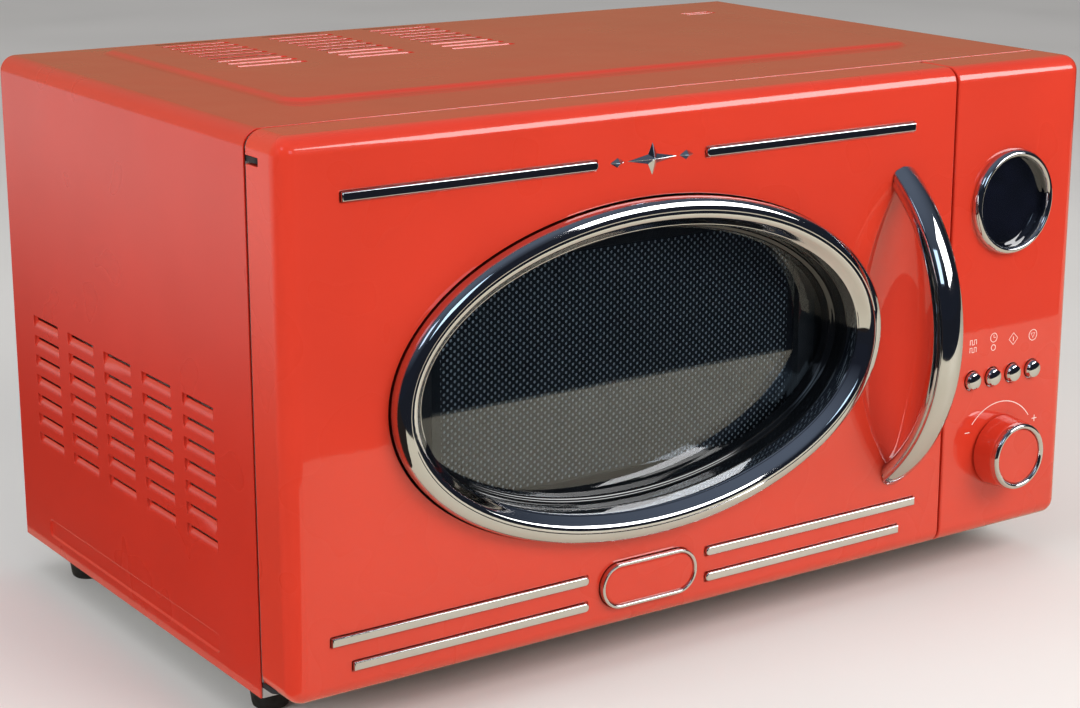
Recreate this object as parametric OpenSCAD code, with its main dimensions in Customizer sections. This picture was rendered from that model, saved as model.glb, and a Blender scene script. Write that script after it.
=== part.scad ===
// Countertop microwave oven with a side-hinged door, an oval window and a round display.
// The origin is the middle of the footprint, on the surface that the feet stand on.
// +X is to the right, the front faces -Y and +Z is up. Sizes are in millimetres.

/* [Cabinet] */
// Width across the cabinet, door and control panel
body_w = 455; // [380:1:546]
// Height of the painted cabinet from its bottom edge to its flat top
cabinet_h = 246.8; // [205:0.1:296]
// Depth of the painted cabinet behind the door
cabinet_d = 259.4; // [216:0.1:311]
// Radius of the long top edges of the cabinet
edge_r = 8; // [4:0.5:10]
// Thickness of the pressed steel sheets
sheet = 1; // [0.8:0.1:1.2]
// Width of the flange turned in at the rear of the cover
flange_w = 9; // [7:0.5:10]
// Gap between the cover and the sheets that sit inside it
sheet_gap = 0.2; // [0.1:0.05:0.4]
// Depth of the stiffening bulge stamped in the back panel
bulge_d = 6; // [4:0.5:9]
// Free space between the oven's rear wall and the back panel
back_gap = 3; // [2:0.5:6]
// Height of the raised pad on the top
pad_h = 2; // [1:0.5:4]
// Distance from each side to the raised pad
pad_side = 44; // [30:1:60]
// Distance from the front edge of the cabinet to the raised pad
pad_front = 44; // [30:1:60]
// Distance from the rear edge of the cabinet to the raised pad
pad_rear = 12; // [10:1:30]
// Corner radius of the raised pad
pad_r = 14; // [8:1:25]

/* [Vents] */
// Length of a slot in the top
slot_l = 37; // [25:1:40]
// Width of a slot in the top
slot_w = 4.4; // [3:0.1:5]
// Distance from one slot in the top to the next
slot_pitch = 10.2; // [8:0.1:12]
// Distance from one group of slots to the next
slot_group_pitch = 59.5; // [50:0.5:65]
// Distance from the cabinet's left side to the middle of the first group of slots
slot_side = 92.5; // [80:0.5:100]
// Distance from the cabinet's rear edge to the middle of the rearmost slot
slot_rear = 17.5; // [16:0.5:20]
// Length of a louvre in the left side
louvre_l = 30; // [20:1:34]
// Height of a louvre's open slit
louvre_slit = 2.2; // [1.5:0.1:3]
// Distance from one louvre to the one below
louvre_pitch_z = 10.05; // [8:0.05:12]
// Distance from one column of louvres to the next
louvre_pitch_y = 41.9; // [36:0.1:44]
// Depth of the long groove pressed in each side
groove_d = 0.5; // [0.3:0.1:0.6]

/* [Feet] */
// Height of the feet under the cabinet
foot_h = 18; // [12:1:25]
// Radius of a foot where it meets the base plate
foot_r = 11; // [8:0.5:14]
// Distance from the cabinet's side to the middle of a foot
foot_side = 20; // [16:1:40]
// Distance from the cabinet's front and rear edge to the middle of a foot
foot_end = 30; // [20:1:50]

/* [Oven] */
// Free space on the left between the cover and the oven wall
left_gap = 27.8; // [20:0.1:35]
// Width of the bay on the right that holds the electrics
bay_w = 118.2; // [110:0.1:130]
// Free space under the oven floor
under_gap = 22; // [20:0.5:30]
// Free space over the oven roof
over_gap = 16.8; // [14:0.1:25]
// Smallest distance from the glass tray to an oven wall
tray_gap = 12.5; // [8:0.5:20]
// Thickness of the glass tray
tray_t = 4.5; // [3:0.1:6]
// Height of the glass tray with its rim
tray_h = 14; // [10:0.5:20]
// Radius of a roller under the tray
roller_r = 7; // [5:0.5:8]
// Distance from the tray's rim to the middle of the roller track
track_inset = 22; // [18:1:30]
// Radius of the turntable motor
motor_r = 24.5; // [20:0.5:30]
// Height of the turntable motor
motor_h = 16; // [12:0.5:19]
// Radius of the turntable motor's shaft
shaft_r = 3.5; // [3:0.1:4]
// Radius of a roller's axle
roller_axle_r = 2; // [1.5:0.1:2.5]

/* [Door] */
// Width of the control panel beside the door
panel_w = 86.4; // [80:0.1:92]
// Thickness of the door
door_t = 27.5; // [26:0.1:30]
// Gap behind the closed door
door_gap = 2; // [1.6:0.1:3]
// Gap between the door and the control panel
seam_gap = 1.2; // [0.8:0.1:2]
// Height of the door's bottom edge over the cabinet's bottom edge
door_lift = 4.2; // [3:0.1:6]
// Wall thickness of the moulded door and panel
wall = 2.6; // [2:0.1:2.8]
// Radius of the front edges of the door and panel
front_r = 9; // [5:0.5:10]
// Corner radius of the door and panel seen from the front
corner_r = 6; // [3:0.5:8]
// Radius of the door's rear upright edges
rear_r = 2.5; // [1:0.1:3]
// Distance from the door's left face to the hinge axis
hinge_side = 5; // [4.8:0.1:6]
// Distance from the door's rear face to the hinge axis
hinge_rear = 4.5; // [4.3:0.1:5]
// Radius of the hinge pins
hinge_pin_r = 2; // [1.6:0.1:2.1]
// Thickness of the hinge brackets
hinge_t = 2.5; // [2:0.1:3]
// Running clearance round a shaft or pin
running_gap = 0.05; // [0.02:0.01:0.09]
// Distance the latch lever lifts
latch_travel = 4; // [2:0.5:5]

/* [Window] */
// Distance from the door's side to the bezel
window_side = 47.6; // [44:0.1:60]
// Distance from the door's top and bottom to the bezel
window_end = 41.6; // [40:0.1:55]
// Width of the chrome bezel
bezel_w = 15; // [11:0.5:16]
// Height of the bezel over the door's face
bezel_h = 8; // [5:0.5:9]
// Depth from the door's face to the window glass
glass_depth = 18; // [17:0.5:19]
// Thickness of the window glass
glass_t = 3; // [2.5:0.1:3]
// Width of the perforated screen
screen_w = 204; // [120:1:240]
// Height of the perforated screen
screen_h = 107; // [80:1:120]

/* [Handle] */
// Distance from the seam to the middle of the handle
handle_inset = 33.1; // [30:0.1:40]
// Free height between the handle's top end and the upper strips
handle_top_gap = 18.3; // [10:0.1:30]
// Free height between the handle's lower end and the low strips
handle_low_gap = 10.6; // [6:0.1:25]
// Distance the handle stands out from the door
handle_out = 40; // [34:1:50]
// Width of the handle
handle_w = 16; // [12:1:18]
// Finger room between the handle's middle and the door's face
finger_room = 29.5; // [25:0.5:32]
// Depth of the finger well pressed in the door
well_depth = 12.5; // [8:0.5:12.5]
// Half the width of the finger well
well_half_w = 26; // [20:0.5:26]
// Distance from each end of the handle to the end of the finger well
well_end = 14.5; // [14.5:0.5:25]

/* [Trim] */
// Width of a chrome strip
strip_w = 4.2; // [3:0.1:5]
// Height of a chrome strip over the door's face
strip_h = 1.6; // [1:0.1:2.5]
// Depth that strips, badge and ornament sit in the door's face
strip_seat = 1; // [0.5:0.1:1.5]
// Distance from the door's top edge to the upper strips
strip_top = 25.8; // [22:0.1:30]
// Distance from the door's bottom edge to the higher low strips
strip_low_high = 26.9; // [24:0.1:30]
// Distance from the door's bottom edge to the lower low strips
strip_low_low = 14.2; // [12:0.1:16]
// Length of the pill-shaped badge
badge_l = 54; // [40:1:56]
// Height of the pill-shaped badge
badge_w = 21.6; // [16:0.1:24]
// Height of the badge rim over the door's face
badge_h = 3; // [2:0.5:4]
// Length of the star ornament over the window
ornament_l = 46; // [36:1:50]
// Height of the star ornament over the window
ornament_h = 15; // [10:1:18]
// Thickness of the star ornament
ornament_t = 2.2; // [1.5:0.1:3]

/* [Controls] */
// Distance from the seam to the middle of the controls
control_inset = 39.6; // [38:0.1:42]
// Radius of the display ring
display_r = 26.7; // [22:0.1:28]
// Height of the display ring over the panel
display_h = 4.5; // [3:0.5:6]
// Distance from the panel's top edge to the middle of the display
display_top = 69.5; // [50:0.5:75]
// Radius of a button cap
button_r = 4.8; // [3.5:0.1:5]
// Distance from one button to the next
button_pitch = 14; // [13.5:0.1:15]
// Height of the buttons over the panel's bottom edge
button_z = 83.2; // [78:0.1:90]
// Distance a button travels
button_travel = 1.2; // [0.8:0.1:1.4]
// Radius of the knob at its base
knob_r = 18.5; // [15:0.5:20]
// Height of the knob over the panel
knob_h = 16; // [12:0.5:20]
// Height of the knob's axis over the panel's bottom edge
knob_z = 43.4; // [40:0.1:50]
// Radius of the encoder shaft
encoder_shaft_r = 3; // [2.5:0.1:3.2]

/* [Hidden] */
$fn = 64;
cut = 1;

// Places along Y
total_d = handle_out + door_t + door_gap + cabinet_d + bulge_d;
y_face = handle_out - total_d / 2;
y_door = y_face + door_t;
y_cab = y_door + door_gap;
y_rear = y_cab + cabinet_d;
y_back = y_rear + bulge_d;

y_louvre = y_cab + 51.5;

// Places along Z
z_base = foot_h;
z_top = foot_h + cabinet_h;
z_door = foot_h + door_lift;
z_floor = z_base + sheet + under_gap + sheet;
z_roof = z_top - sheet - over_gap - sheet;
z_window = (z_door + z_top) / 2;
z_louvre = z_base + 120;
groove_front = 38;
groove_rear = 31.5;
groove_low = 7.2;
groove_w = 10;

// Places along X
x_side = body_w / 2;
x_seam = x_side - panel_w;
x_door_right = x_seam - seam_gap / 2;
x_panel_left = x_seam + seam_gap / 2;
x_door_mid = (x_seam - x_side) / 2;
x_oven_left = -x_side + sheet + left_gap + sheet;
x_oven_right = x_side - sheet - bay_w - sheet;
x_oven_mid = (x_oven_left + x_oven_right) / 2;
x_bay = x_oven_right + sheet;
x_bay_mid = (x_bay + x_side - sheet) / 2;

// Oven cavity
oven_w = x_oven_right - x_oven_left;
oven_h = z_roof - z_floor;
y_oven = y_cab + sheet;
y_oven_back = y_rear - 2 * sheet - back_gap - sheet;
oven_d = y_oven_back - y_oven;
y_tray = (y_oven + y_oven_back) / 2;
port_w = 80;
port_h = 44;
y_port = y_oven + 84;
z_port = z_roof - 52;

// Turntable
tray_r = min(oven_w, oven_d) / 2 - tray_gap;
track_r = tray_r - track_inset;
roller_w = 8;
floor_gap = 0.1;
tray_lift = 0.3;
z_roller = z_floor + floor_gap + roller_r;
z_tray = z_roller + roller_r + tray_lift;
hub_r = 9;
wing_l = 23;
wing_w = 3;
wing_h = 4.4;

// Door
door_w = x_door_right + x_side;
door_h = z_top - z_door;
x_hinge = -x_side + hinge_side;
y_hinge = y_door - hinge_rear;
tongue_half_w = 3.7;
notch_gap = 0.5;
door_open = 100;
notch_front = (tongue_half_w + notch_gap + hinge_side * sin(door_open - 90)) / cos(door_open - 90);
z_low_tongue = z_door + 0.6;
z_high_tongue = z_top - 13;
pin_l = 9;
window_a = (x_seam + x_side) / 2 - window_side;
window_b = door_h / 2 - window_end;
bezel_seat = 3;
tunnel_lip = 15;
frame_lip = 2;
choke_w = 13;
choke_depth = 7;
y_glass = y_face + glass_depth;
y_screen = y_glass + glass_t;
x_handle = x_seam - handle_inset;
z_handle_top = z_top - strip_top - handle_top_gap;
z_handle_low = z_door + strip_low_high + handle_low_gap;
handle_l = z_handle_top - z_handle_low;
z_handle = (z_handle_top + z_handle_low) / 2;
handle_screw_z = handle_l / 2 - 6;
well_half_l = handle_l / 2 - well_end;
x_latch = x_door_right - wall - 6.5;
latch_w = 5;
hook_z = [z_window - 65, z_window + 62];
hook_h = 9;
hook_half_w = latch_w / 2 - 0.5;
hook_l = 17;
hook_gap = 0.6;

// Controls
x_control = x_seam + control_inset;
z_display = z_top - display_top;
z_button = z_door + button_z;
z_knob = z_door + knob_z;
y_board = y_face + 12;
board_t = 1.6;
button_x = [for (i = [-1.5 : 1 : 1.5]) x_control + i * button_pitch];
switch_h = 2;
fit_gap = 0.3;

// Electrics bay
fan_r = 40;
z_fan = z_roof - 66;
fan_depth = 22;
screw_r = 2;
screw_head_r = 3.6;
screw_head_h = 2.2;
screw_recess = 5;
vent_hole_r = 2;

red = [0.80, 0.17, 0.11];
steel = [0.72, 0.73, 0.75];
chrome = [0.86, 0.86, 0.88];
black = [0.08, 0.08, 0.09];
grey = [0.55, 0.56, 0.58];

// Draws an outline given in X and Z as a solid from y0 to y1
module along_y(y0, y1) {
    translate([0, y1, 0]) rotate([90, 0, 0]) linear_extrude(y1 - y0) children();
}

// Draws an outline given in Y and Z as a solid from x0 to x1
module along_x(x0, x1) {
    translate([x0, 0, 0]) rotate([90, 0, 90]) linear_extrude(x1 - x0) children();
}

// A block between two corners
module block(low, high) {
    translate(low) cube(high - low);
}

// A round bar along Y
module bar_y(x, z, y0, y1, r) {
    translate([x, y1, z]) rotate([90, 0, 0]) cylinder(h = y1 - y0, r = r);
}

// A round bar along X
module bar_x(y, z, x0, x1, r) {
    translate([x0, y, z]) rotate([0, 90, 0]) cylinder(h = x1 - x0, r = r);
}

// A rectangle with round corners, centred
module rounded_rect(w, h, r) {
    square([w - 2 * r, h], center = true);
    square([w, h - 2 * r], center = true);
    for (sx = [-1, 1], sy = [-1, 1]) translate([sx * (w / 2 - r), sy * (h / 2 - r)]) circle(r);
}

// An ellipse, centred
module ellipse(a, b, n = 96) {
    polygon([for (i = [0 : n - 1]) [a * cos(i * 360 / n), b * sin(i * 360 / n)]]);
}

// The cabinet seen from the front, with two round top corners
module cabinet_outline(inset) {
    w = body_w - 2 * inset;
    r = edge_r - inset;
    translate([-w / 2, z_base]) square([w, cabinet_h - inset - r]);
    translate([r - w / 2, z_base]) square([w - 2 * r, cabinet_h - inset]);
    for (s = [-1, 1]) translate([s * (w / 2 - r), z_top - inset - r]) circle(r);
}

// Sides, top and rear flange of the cover, before the openings
module cover_shell() {
    difference() {
        along_y(y_cab, y_rear) cabinet_outline(0);
        along_y(y_cab - cut, y_rear - sheet) cabinet_outline(sheet);
        along_y(y_rear - 2 * sheet, y_rear + cut)
            translate([0, (z_base + z_top) / 2 - flange_w])
            square([body_w - 2 * (sheet + flange_w), cabinet_h], center = true);
        block([sheet - x_side, y_cab - cut, z_base - cut],
            [x_side - sheet, y_rear - sheet, z_base + edge_r]);
    }
}

// Places children at each top slot of the given rows; row 0 is the rearmost
module each_top_slot(rows) {
    for (g = [0 : 2], row = rows)
        translate([slot_side - x_side + g * slot_group_pitch, y_rear - slot_rear - row * slot_pitch, 0]) children();
}

module outer_cover() {
    pad_y0 = y_cab + pad_front;
    pad_y1 = y_rear - pad_rear;
    pad_w = body_w - 2 * pad_side;
    pad_mid = (pad_y0 + pad_y1) / 2;
    color(red) difference() {
        union() {
            cover_shell();
            translate([0, pad_mid, z_top - sheet])
                linear_extrude(pad_h + sheet) rounded_rect(pad_w, pad_y1 - pad_y0, pad_r);
        }
        translate([0, pad_mid, z_top - 2 * sheet])
            linear_extrude(pad_h + sheet)
            rounded_rect(pad_w - 2 * sheet, pad_y1 - pad_y0 - 2 * sheet, pad_r - sheet);
        each_top_slot([0 : 6]) translate([0, 0, z_top]) cube([slot_l, slot_w, 4 * pad_h], center = true);
        for (col = [0 : 4], row = [0 : 6])
            translate([-x_side, y_louvre + col * louvre_pitch_y, z_louvre - row * louvre_pitch_z])
                cube([4 * sheet, louvre_l, louvre_slit], center = true);
        for (s = [-1, 1])
            block([s * x_side - groove_d, y_cab + groove_front, z_base + groove_low],
                [s * x_side + groove_d, y_rear - groove_rear, z_base + groove_low + groove_w]);
        each_cover_screw() bar_y(0, 0, y_rear - 2 * sheet, y_rear + cut, screw_r + fit_gap);
    }
}

// The screws that hold the cover's flange to the back panel
module each_cover_screw() {
    inset = sheet + flange_w / 2;
    for (s = [-1, 1]) {
        translate([s * (x_side - inset), 0, z_base + 20]) children();
        translate([s * (x_side - inset), 0, z_base + cabinet_h / 2]) children();
        translate([s * (x_side - 60), 0, z_top - inset]) children();
    }
}

// The screws in the cover's flange, and those that hold the feet
module cabinet_screws() {
    color(steel) {
        each_cover_screw() {
            bar_y(0, 0, y_rear - 6, y_rear + 0.1, screw_r - running_gap);
            bar_y(0, 0, y_rear, y_rear + screw_head_h, screw_head_r);
        }
        for (p = foot_places) translate([p[0], p[1], 0]) {
            translate([0, 0, screw_recess])
                cylinder(h = foot_h - screw_recess + sheet + 3, r = screw_r - running_gap);
            translate([0, 0, screw_recess - screw_head_h]) cylinder(h = screw_head_h, r = screw_head_r);
        }
    }
}

// Middles of the four feet
foot_places = [for (sx = [-1, 1], y = [y_cab + foot_end, y_rear - foot_end])
    [sx * (x_side - foot_side), y]];

module base_plate() {
    inset = sheet + sheet_gap;
    color(steel) difference() {
        block([inset - x_side, y_oven, z_base], [x_side - inset, y_rear - 2 * sheet, z_base + sheet]);
        for (p = foot_places) translate([p[0], p[1], z_base - cut])
            cylinder(h = sheet + 2 * cut, r = screw_r);
        for (row = [0 : 5], col = [0 : 3])
            translate([x_bay_mid - 37 + col * 16, y_oven + 74 + row * 12, z_base])
                cube([10, 4, 4 * sheet], center = true);
    }
}

module foot() {
    hole = screw_r + fit_gap;
    recess_r = hole + 2;
    rotate_extrude() polygon([
        [hole, foot_h], [foot_r, foot_h], [foot_r - 2, 3], [foot_r - 2.8, 0.8], [foot_r - 3.8, 0],
        [recess_r, 0], [recess_r, screw_recess], [hole, screw_recess]]);
}

module feet() {
    color(black) for (p = foot_places) translate([p[0], p[1], 0]) foot();
}

// The bulge of the back panel, grown outwards by t
module bulge_outline(t) {
    w = oven_w + 2 * t;
    h = oven_h + 2 * t;
    translate([x_oven_mid, (z_floor + z_roof) / 2]) rounded_rect(w, h, 13 + t);
}

module back_panel() {
    y0 = y_rear - 2 * sheet;
    y1 = y_rear - sheet;
    color(grey) difference() {
        union() {
            along_y(y0, y1) cabinet_outline(sheet + sheet_gap);
            along_y(y0, y_back) bulge_outline(sheet);
        }
        along_y(y0 - cut, y_back - sheet) bulge_outline(0);
        each_cover_screw() bar_y(0, 0, y0 - cut, y1 + cut, screw_r);
        for (ring = [1 : 5], k = [0 : ring * 6 - 1])
            rotate_about([x_bay_mid, 0, z_fan], k * 60 / ring)
                bar_y(x_bay_mid + ring * 7, z_fan, y0 - cut, y1 + cut, vent_hole_r);
        bar_y(x_gland, z_gland, y0 - cut, y1 + cut, gland_r);
    }
}

// Turns children about an upright line seen from the front
module rotate_about(middle, angle) {
    translate(middle) rotate([0, angle, 0]) translate(-middle) children();
}

// The strain-relief bush in the back panel
gland_r = 8;
x_gland = x_side - 26;
z_gland = z_base + 30;
gland_hole_r = 3.6;

module cord_gland() {
    y1 = y_rear - sheet;
    color(black) difference() {
        union() {
            bar_y(x_gland, z_gland, y1 - 8, y1 + 0.1, gland_r - 0.1);
            bar_y(x_gland, z_gland, y1, y1 + 4, gland_r + 3);
            bar_y(x_gland, z_gland, y1 - 8, y1 - 3, gland_r + 1.5);
        }
        bar_y(x_gland, z_gland, y1 - 8 - cut, y1 + 4 + cut, gland_hole_r);
    }
}

// The slots that the hooks pass through, cut in the sheet from y0 to y1
module hook_slots(y0, y1) {
    for (z = hook_z)
        block([x_latch - latch_w / 2 - 1.6, y0, z - 2],
            [x_latch + latch_w / 2 + 1.6, y1, z + hook_h + latch_travel + 1.5]);
}

module front_frame() {
    color(steel) difference() {
        along_y(y_cab, y_oven) cabinet_outline(sheet + sheet_gap);
        block([x_oven_left, y_cab - cut, z_floor], [x_oven_right, y_oven + cut, z_roof]);
        block([x_control - 22, y_cab - cut, z_door + 66], [x_control + 32, y_oven + cut, z_top - 40]);
        hook_slots(y_cab - cut, y_oven + cut);
        for (z = [z_low_tongue, z_high_tongue])
            block([x_hinge - tongue_half_w - sheet_gap, y_cab - cut, z - 0.1],
                [x_hinge + tongue_half_w + sheet_gap, y_oven + cut, z + hinge_t + 0.1]);
    }
}

module oven_cavity() {
    color(steel) difference() {
        block([x_oven_left - sheet, y_oven, z_floor - sheet], [x_bay, y_oven_back + sheet, z_roof + sheet]);
        block([x_oven_left, y_oven - cut, z_floor], [x_oven_right, y_oven_back, z_roof]);
        translate([x_oven_mid, y_tray, z_floor - 2 * sheet]) cylinder(h = 4 * sheet, r = 8);
        block([x_oven_right - cut, y_port - port_w / 2, z_port - port_h / 2],
            [x_bay + cut, y_port + port_w / 2, z_port + port_h / 2]);
        for (row = [0 : 3], col = [0 : 3])
            bar_x(y_lamp - 9 + col * 6, z_lamp - 9 + row * 6, x_oven_right - cut, x_bay + cut, 1.6);
        for (row = [0 : 4], col = [0 : 9])
            bar_x(y_oven + 30 + col * 7, z_roof - 40 + row * 7, x_oven_left - 2 * cut, x_oven_left + cut, 1.6);
    }
}

module waveguide_cover() {
    color([0.75, 0.7, 0.6])
        block([x_oven_right - 0.8, y_port - port_w / 2 - 7, z_port - port_h / 2 - 7],
            [x_oven_right, y_port + port_w / 2 + 7, z_port + port_h / 2 + 7]);
}

// The box that carries the waves from the magnetron to the oven wall
guide_w = 26;
x_guide = x_bay + guide_w;

module waveguide() {
    color(steel) difference() {
        block([x_bay, y_port - port_w / 2 - sheet, z_port - port_h / 2 - sheet],
            [x_guide, y_port + port_w / 2 + sheet, z_port + port_h / 2 + sheet]);
        block([x_bay - cut, y_port - port_w / 2, z_port - port_h / 2],
            [x_guide - sheet, y_port + port_w / 2, z_port + port_h / 2]);
        bar_x(y_port, z_port, x_guide - 2 * sheet, x_guide + cut, 11);
    }
}

module magnetron() {
    half_y = 38;
    half_z = 34;
    fin_span = 40;
    color(chrome) {
        block([x_guide, y_port - half_y, z_port - half_z], [x_guide + 2, y_port + half_y, z_port + half_z]);
        block([x_guide + 2 + fin_span, y_port - half_y, z_port - half_z],
            [x_guide + 4 + fin_span, y_port + half_y, z_port + half_z]);
        for (s = [-1, 1])
            block([x_guide + 1, y_port - half_y, z_port + s * (half_z - 1) - 1],
                [x_guide + 3 + fin_span, y_port + half_y, z_port + s * (half_z - 1) + 1]);
        for (i = [0 : 6])
            block([x_guide + 6 + i * 5, y_port - 30, z_port - half_z + 1],
                [x_guide + 7 + i * 5, y_port + 30, z_port + half_z - 1]);
        bar_x(y_port, z_port, x_guide - 14, x_guide + 3 + fin_span, 9.5);
        block([x_guide + 3 + fin_span, y_port - 28, z_port - 26],
            [x_guide + 24 + fin_span, y_port + 28, z_port + 26]);
    }
}

// Transformer on the base plate
x_mains = x_side - sheet - 52;
y_mains = y_oven + 100;
z_mains = z_base + sheet;
core_w = 76;
core_d = 60;
core_h = 64;

module transformer_core() {
    color(grey) difference() {
        block([x_mains - core_w / 2, y_mains - core_d / 2, z_mains],
            [x_mains + core_w / 2, y_mains + core_d / 2, z_mains + core_h]);
        for (s = [-1, 1])
            block([x_mains + s * 19 - 7, y_mains - core_d, z_mains + 13],
                [x_mains + s * 19 + 7, y_mains + core_d, z_mains + core_h - 13]);
    }
}

module transformer_coils() {
    color([0.72, 0.4, 0.2]) for (level = [0, 1]) {
        z0 = z_mains + 13.5 + level * 19;
        difference() {
            block([x_mains - 25.5, y_mains - core_d / 2 - 9, z0],
                [x_mains + 25.5, y_mains + core_d / 2 + 9, z0 + 17.5]);
            block([x_mains - 12.3, y_mains - core_d / 2 - 0.3, z0 - cut],
                [x_mains + 12.3, y_mains + core_d / 2 + 0.3, z0 + 18 + cut]);
        }
    }
}

// Capacitor lying along Y behind the transformer
y_cap = y_rear - 62;
x_cap = x_side - sheet - 22;

module capacitor() {
    color([0.8, 0.8, 0.78]) {
        block([x_cap - 16, y_cap - 24, z_mains + 9], [x_cap + 16, y_cap + 24, z_mains + 41]);
        for (s = [-1, 1])
            block([x_cap + s * 7 - 3, y_cap + 24, z_mains + 24],
                [x_cap + s * 7 + 3, y_cap + 31, z_mains + 25]);
    }
}

module capacitor_clamp() {
    color(steel) difference() {
        block([x_cap - 17, y_cap - 6, z_mains], [x_cap + 17, y_cap + 6, z_mains + 42]);
        block([x_cap - 16, y_cap - 6 - cut, z_mains + 9], [x_cap + 16, y_cap + 6 + cut, z_mains + 41]);
        block([x_cap - 14, y_cap - 6 - cut, z_mains + 1], [x_cap + 14, y_cap + 6 + cut, z_mains + 8]);
    }
}

module high_voltage_diode() {
    color(black) {
        bar_x(y_cap + 14, z_mains + 4.2, x_cap - 52, x_cap - 34, 3);
        block([x_cap - 34.1, y_cap + 11, z_mains], [x_cap - 24, y_cap + 17, z_mains + 1]);
        block([x_cap - 36, y_cap + 11, z_mains], [x_cap - 34, y_cap + 17, z_mains + 6]);
    }
}

module fuse_board() {
    y0 = y_rear - 2 * sheet - 4;
    color([0.15, 0.4, 0.25]) {
        block([x_bay + 8, y0 - 1.6, z_mains + 6], [x_bay + 52, y0, z_mains + 60]);
        for (x = [x_bay + 12, x_bay + 48], z = [z_mains + 10, z_mains + 56])
            bar_y(x, z, y0 - 0.1, y0 + 4, 2.5);
        bar_y(x_bay + 22, z_mains + 40, y0 - 16, y0 - 1.5, 8);
        bar_y(x_bay + 41, z_mains + 40, y0 - 14, y0 - 1.5, 6);
        block([x_bay + 16, y0 - 10, z_mains + 14], [x_bay + 42, y0 - 1.5, z_mains + 22]);
    }
}

module thermal_cutout() {
    color(black) {
        translate([x_oven_mid + 60, y_tray, z_roof + sheet]) cylinder(h = 7, r = 8);
        translate([x_oven_mid + 60, y_tray, z_roof + sheet]) cylinder(h = 1, r = 12);
    }
}

// Lamp holder on the outside of the right oven wall
y_lamp = y_oven_back - 62;
z_lamp = z_roof - 30;

module oven_lamp() {
    color([0.95, 0.92, 0.8]) {
        difference() {
            block([x_bay, y_lamp - 15, z_lamp - 15], [x_bay + 16, y_lamp + 15, z_lamp + 15]);
            block([x_bay - cut, y_lamp - 13, z_lamp - 13], [x_bay + 14, y_lamp + 13, z_lamp + 13]);
        }
        bar_x(y_lamp, z_lamp, x_bay + 3, x_bay + 14.1, 4);
        translate([x_bay + 4.5, y_lamp, z_lamp]) sphere(4);
    }
}

// Cooling fan on the back panel
y_shroud = y_rear - 2 * sheet;
y_fan = y_shroud - 14;

module fan_shroud() {
    color(black) difference() {
        block([x_bay_mid - fan_r - 6, y_shroud - fan_depth, z_fan - fan_r - 4],
            [x_bay_mid + fan_r + 6, y_shroud, z_fan + fan_r + 4]);
        bar_y(x_bay_mid, z_fan, y_shroud - fan_depth - cut, y_shroud + cut, fan_r + 1.5);
    }
}

module fan_motor() {
    y1 = y_shroud - fan_depth;
    color(grey) difference() {
        union() {
            block([x_bay_mid - fan_r - 6, y1 - 1.5, z_fan - 6], [x_bay_mid + fan_r + 6, y1, z_fan + 6]);
            block([x_bay_mid - 22, y1 - 16, z_fan - 20], [x_bay_mid + 22, y1 - 1.4, z_fan + 20]);
        }
        bar_y(x_bay_mid, z_fan, y1 - 14, y1 + cut, 1.6 + running_gap);
    }
}

module fan_blade() {
    color([0.85, 0.85, 0.82]) {
        bar_y(x_bay_mid, z_fan, y_shroud - fan_depth - 13, y_fan + 5, 1.6);
        bar_y(x_bay_mid, z_fan, y_fan - 5, y_fan + 5, 8);
        for (k = [0 : 4]) rotate_about([x_bay_mid, 0, z_fan], k * 72)
            translate([x_bay_mid + 22, y_fan, z_fan]) rotate([32, 0, 0]) cube([31, 1.4, 15], center = true);
    }
}

module turntable_motor() {
    color(steel) difference() {
        union() {
            translate([x_oven_mid, y_tray, z_floor - sheet - motor_h]) cylinder(h = motor_h, r = motor_r);
            for (s = [-1, 1])
                block([x_oven_mid + s * 30 - 8, y_tray - 5, z_floor - 2 * sheet],
                    [x_oven_mid + s * 30 + 8, y_tray + 5, z_floor - sheet]);
        }
        translate([x_oven_mid, y_tray, z_floor - sheet - motor_h + 3])
            cylinder(h = motor_h, r = shaft_r + running_gap);
    }
}

module turntable_shaft() {
    color(chrome) translate([x_oven_mid, y_tray, z_floor - sheet - motor_h + 3.5])
        cylinder(h = motor_h - 2.5 + 9, r = shaft_r);
}

module drive_coupler() {
    z_shaft = z_floor + 9;
    z1 = z_tray - 0.2;
    color([0.9, 0.9, 0.88]) translate([x_oven_mid, y_tray, 0]) difference() {
        union() {
            translate([0, 0, z_floor + 1]) cylinder(h = z1 - z_floor - 1, r = hub_r);
            for (k = [0 : 2]) rotate([0, 0, k * 120 + 30])
                block([0, -wing_w / 2, z1 - wing_h], [wing_l, wing_w / 2, z1]);
        }
        translate([0, 0, z_floor]) cylinder(h = z_shaft - z_floor, r = shaft_r);
    }
}

module glass_tray() {
    lug_in = hub_r + 5;
    lug_out = wing_l - 1;
    color([0.8, 0.9, 0.9, 0.4]) translate([x_oven_mid, y_tray, z_tray]) {
        rotate_extrude($fn = 96) polygon([
            [0, 0], [tray_r - 16, 0], [tray_r - 12, 1], [tray_r, tray_h - 2], [tray_r, tray_h],
            [tray_r - 3, tray_h], [tray_r - 14.5, tray_t + 0.8], [tray_r - 18, tray_t], [0, tray_t]]);
        for (k = [0 : 2], side = [-1, 1]) rotate([0, 0, k * 120 + 30])
            block([lug_in, side * (wing_w / 2 + 2.3) - 2, -3],
                [lug_out, side * (wing_w / 2 + 2.3) + 2, 0.1]);
    }
}

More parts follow.
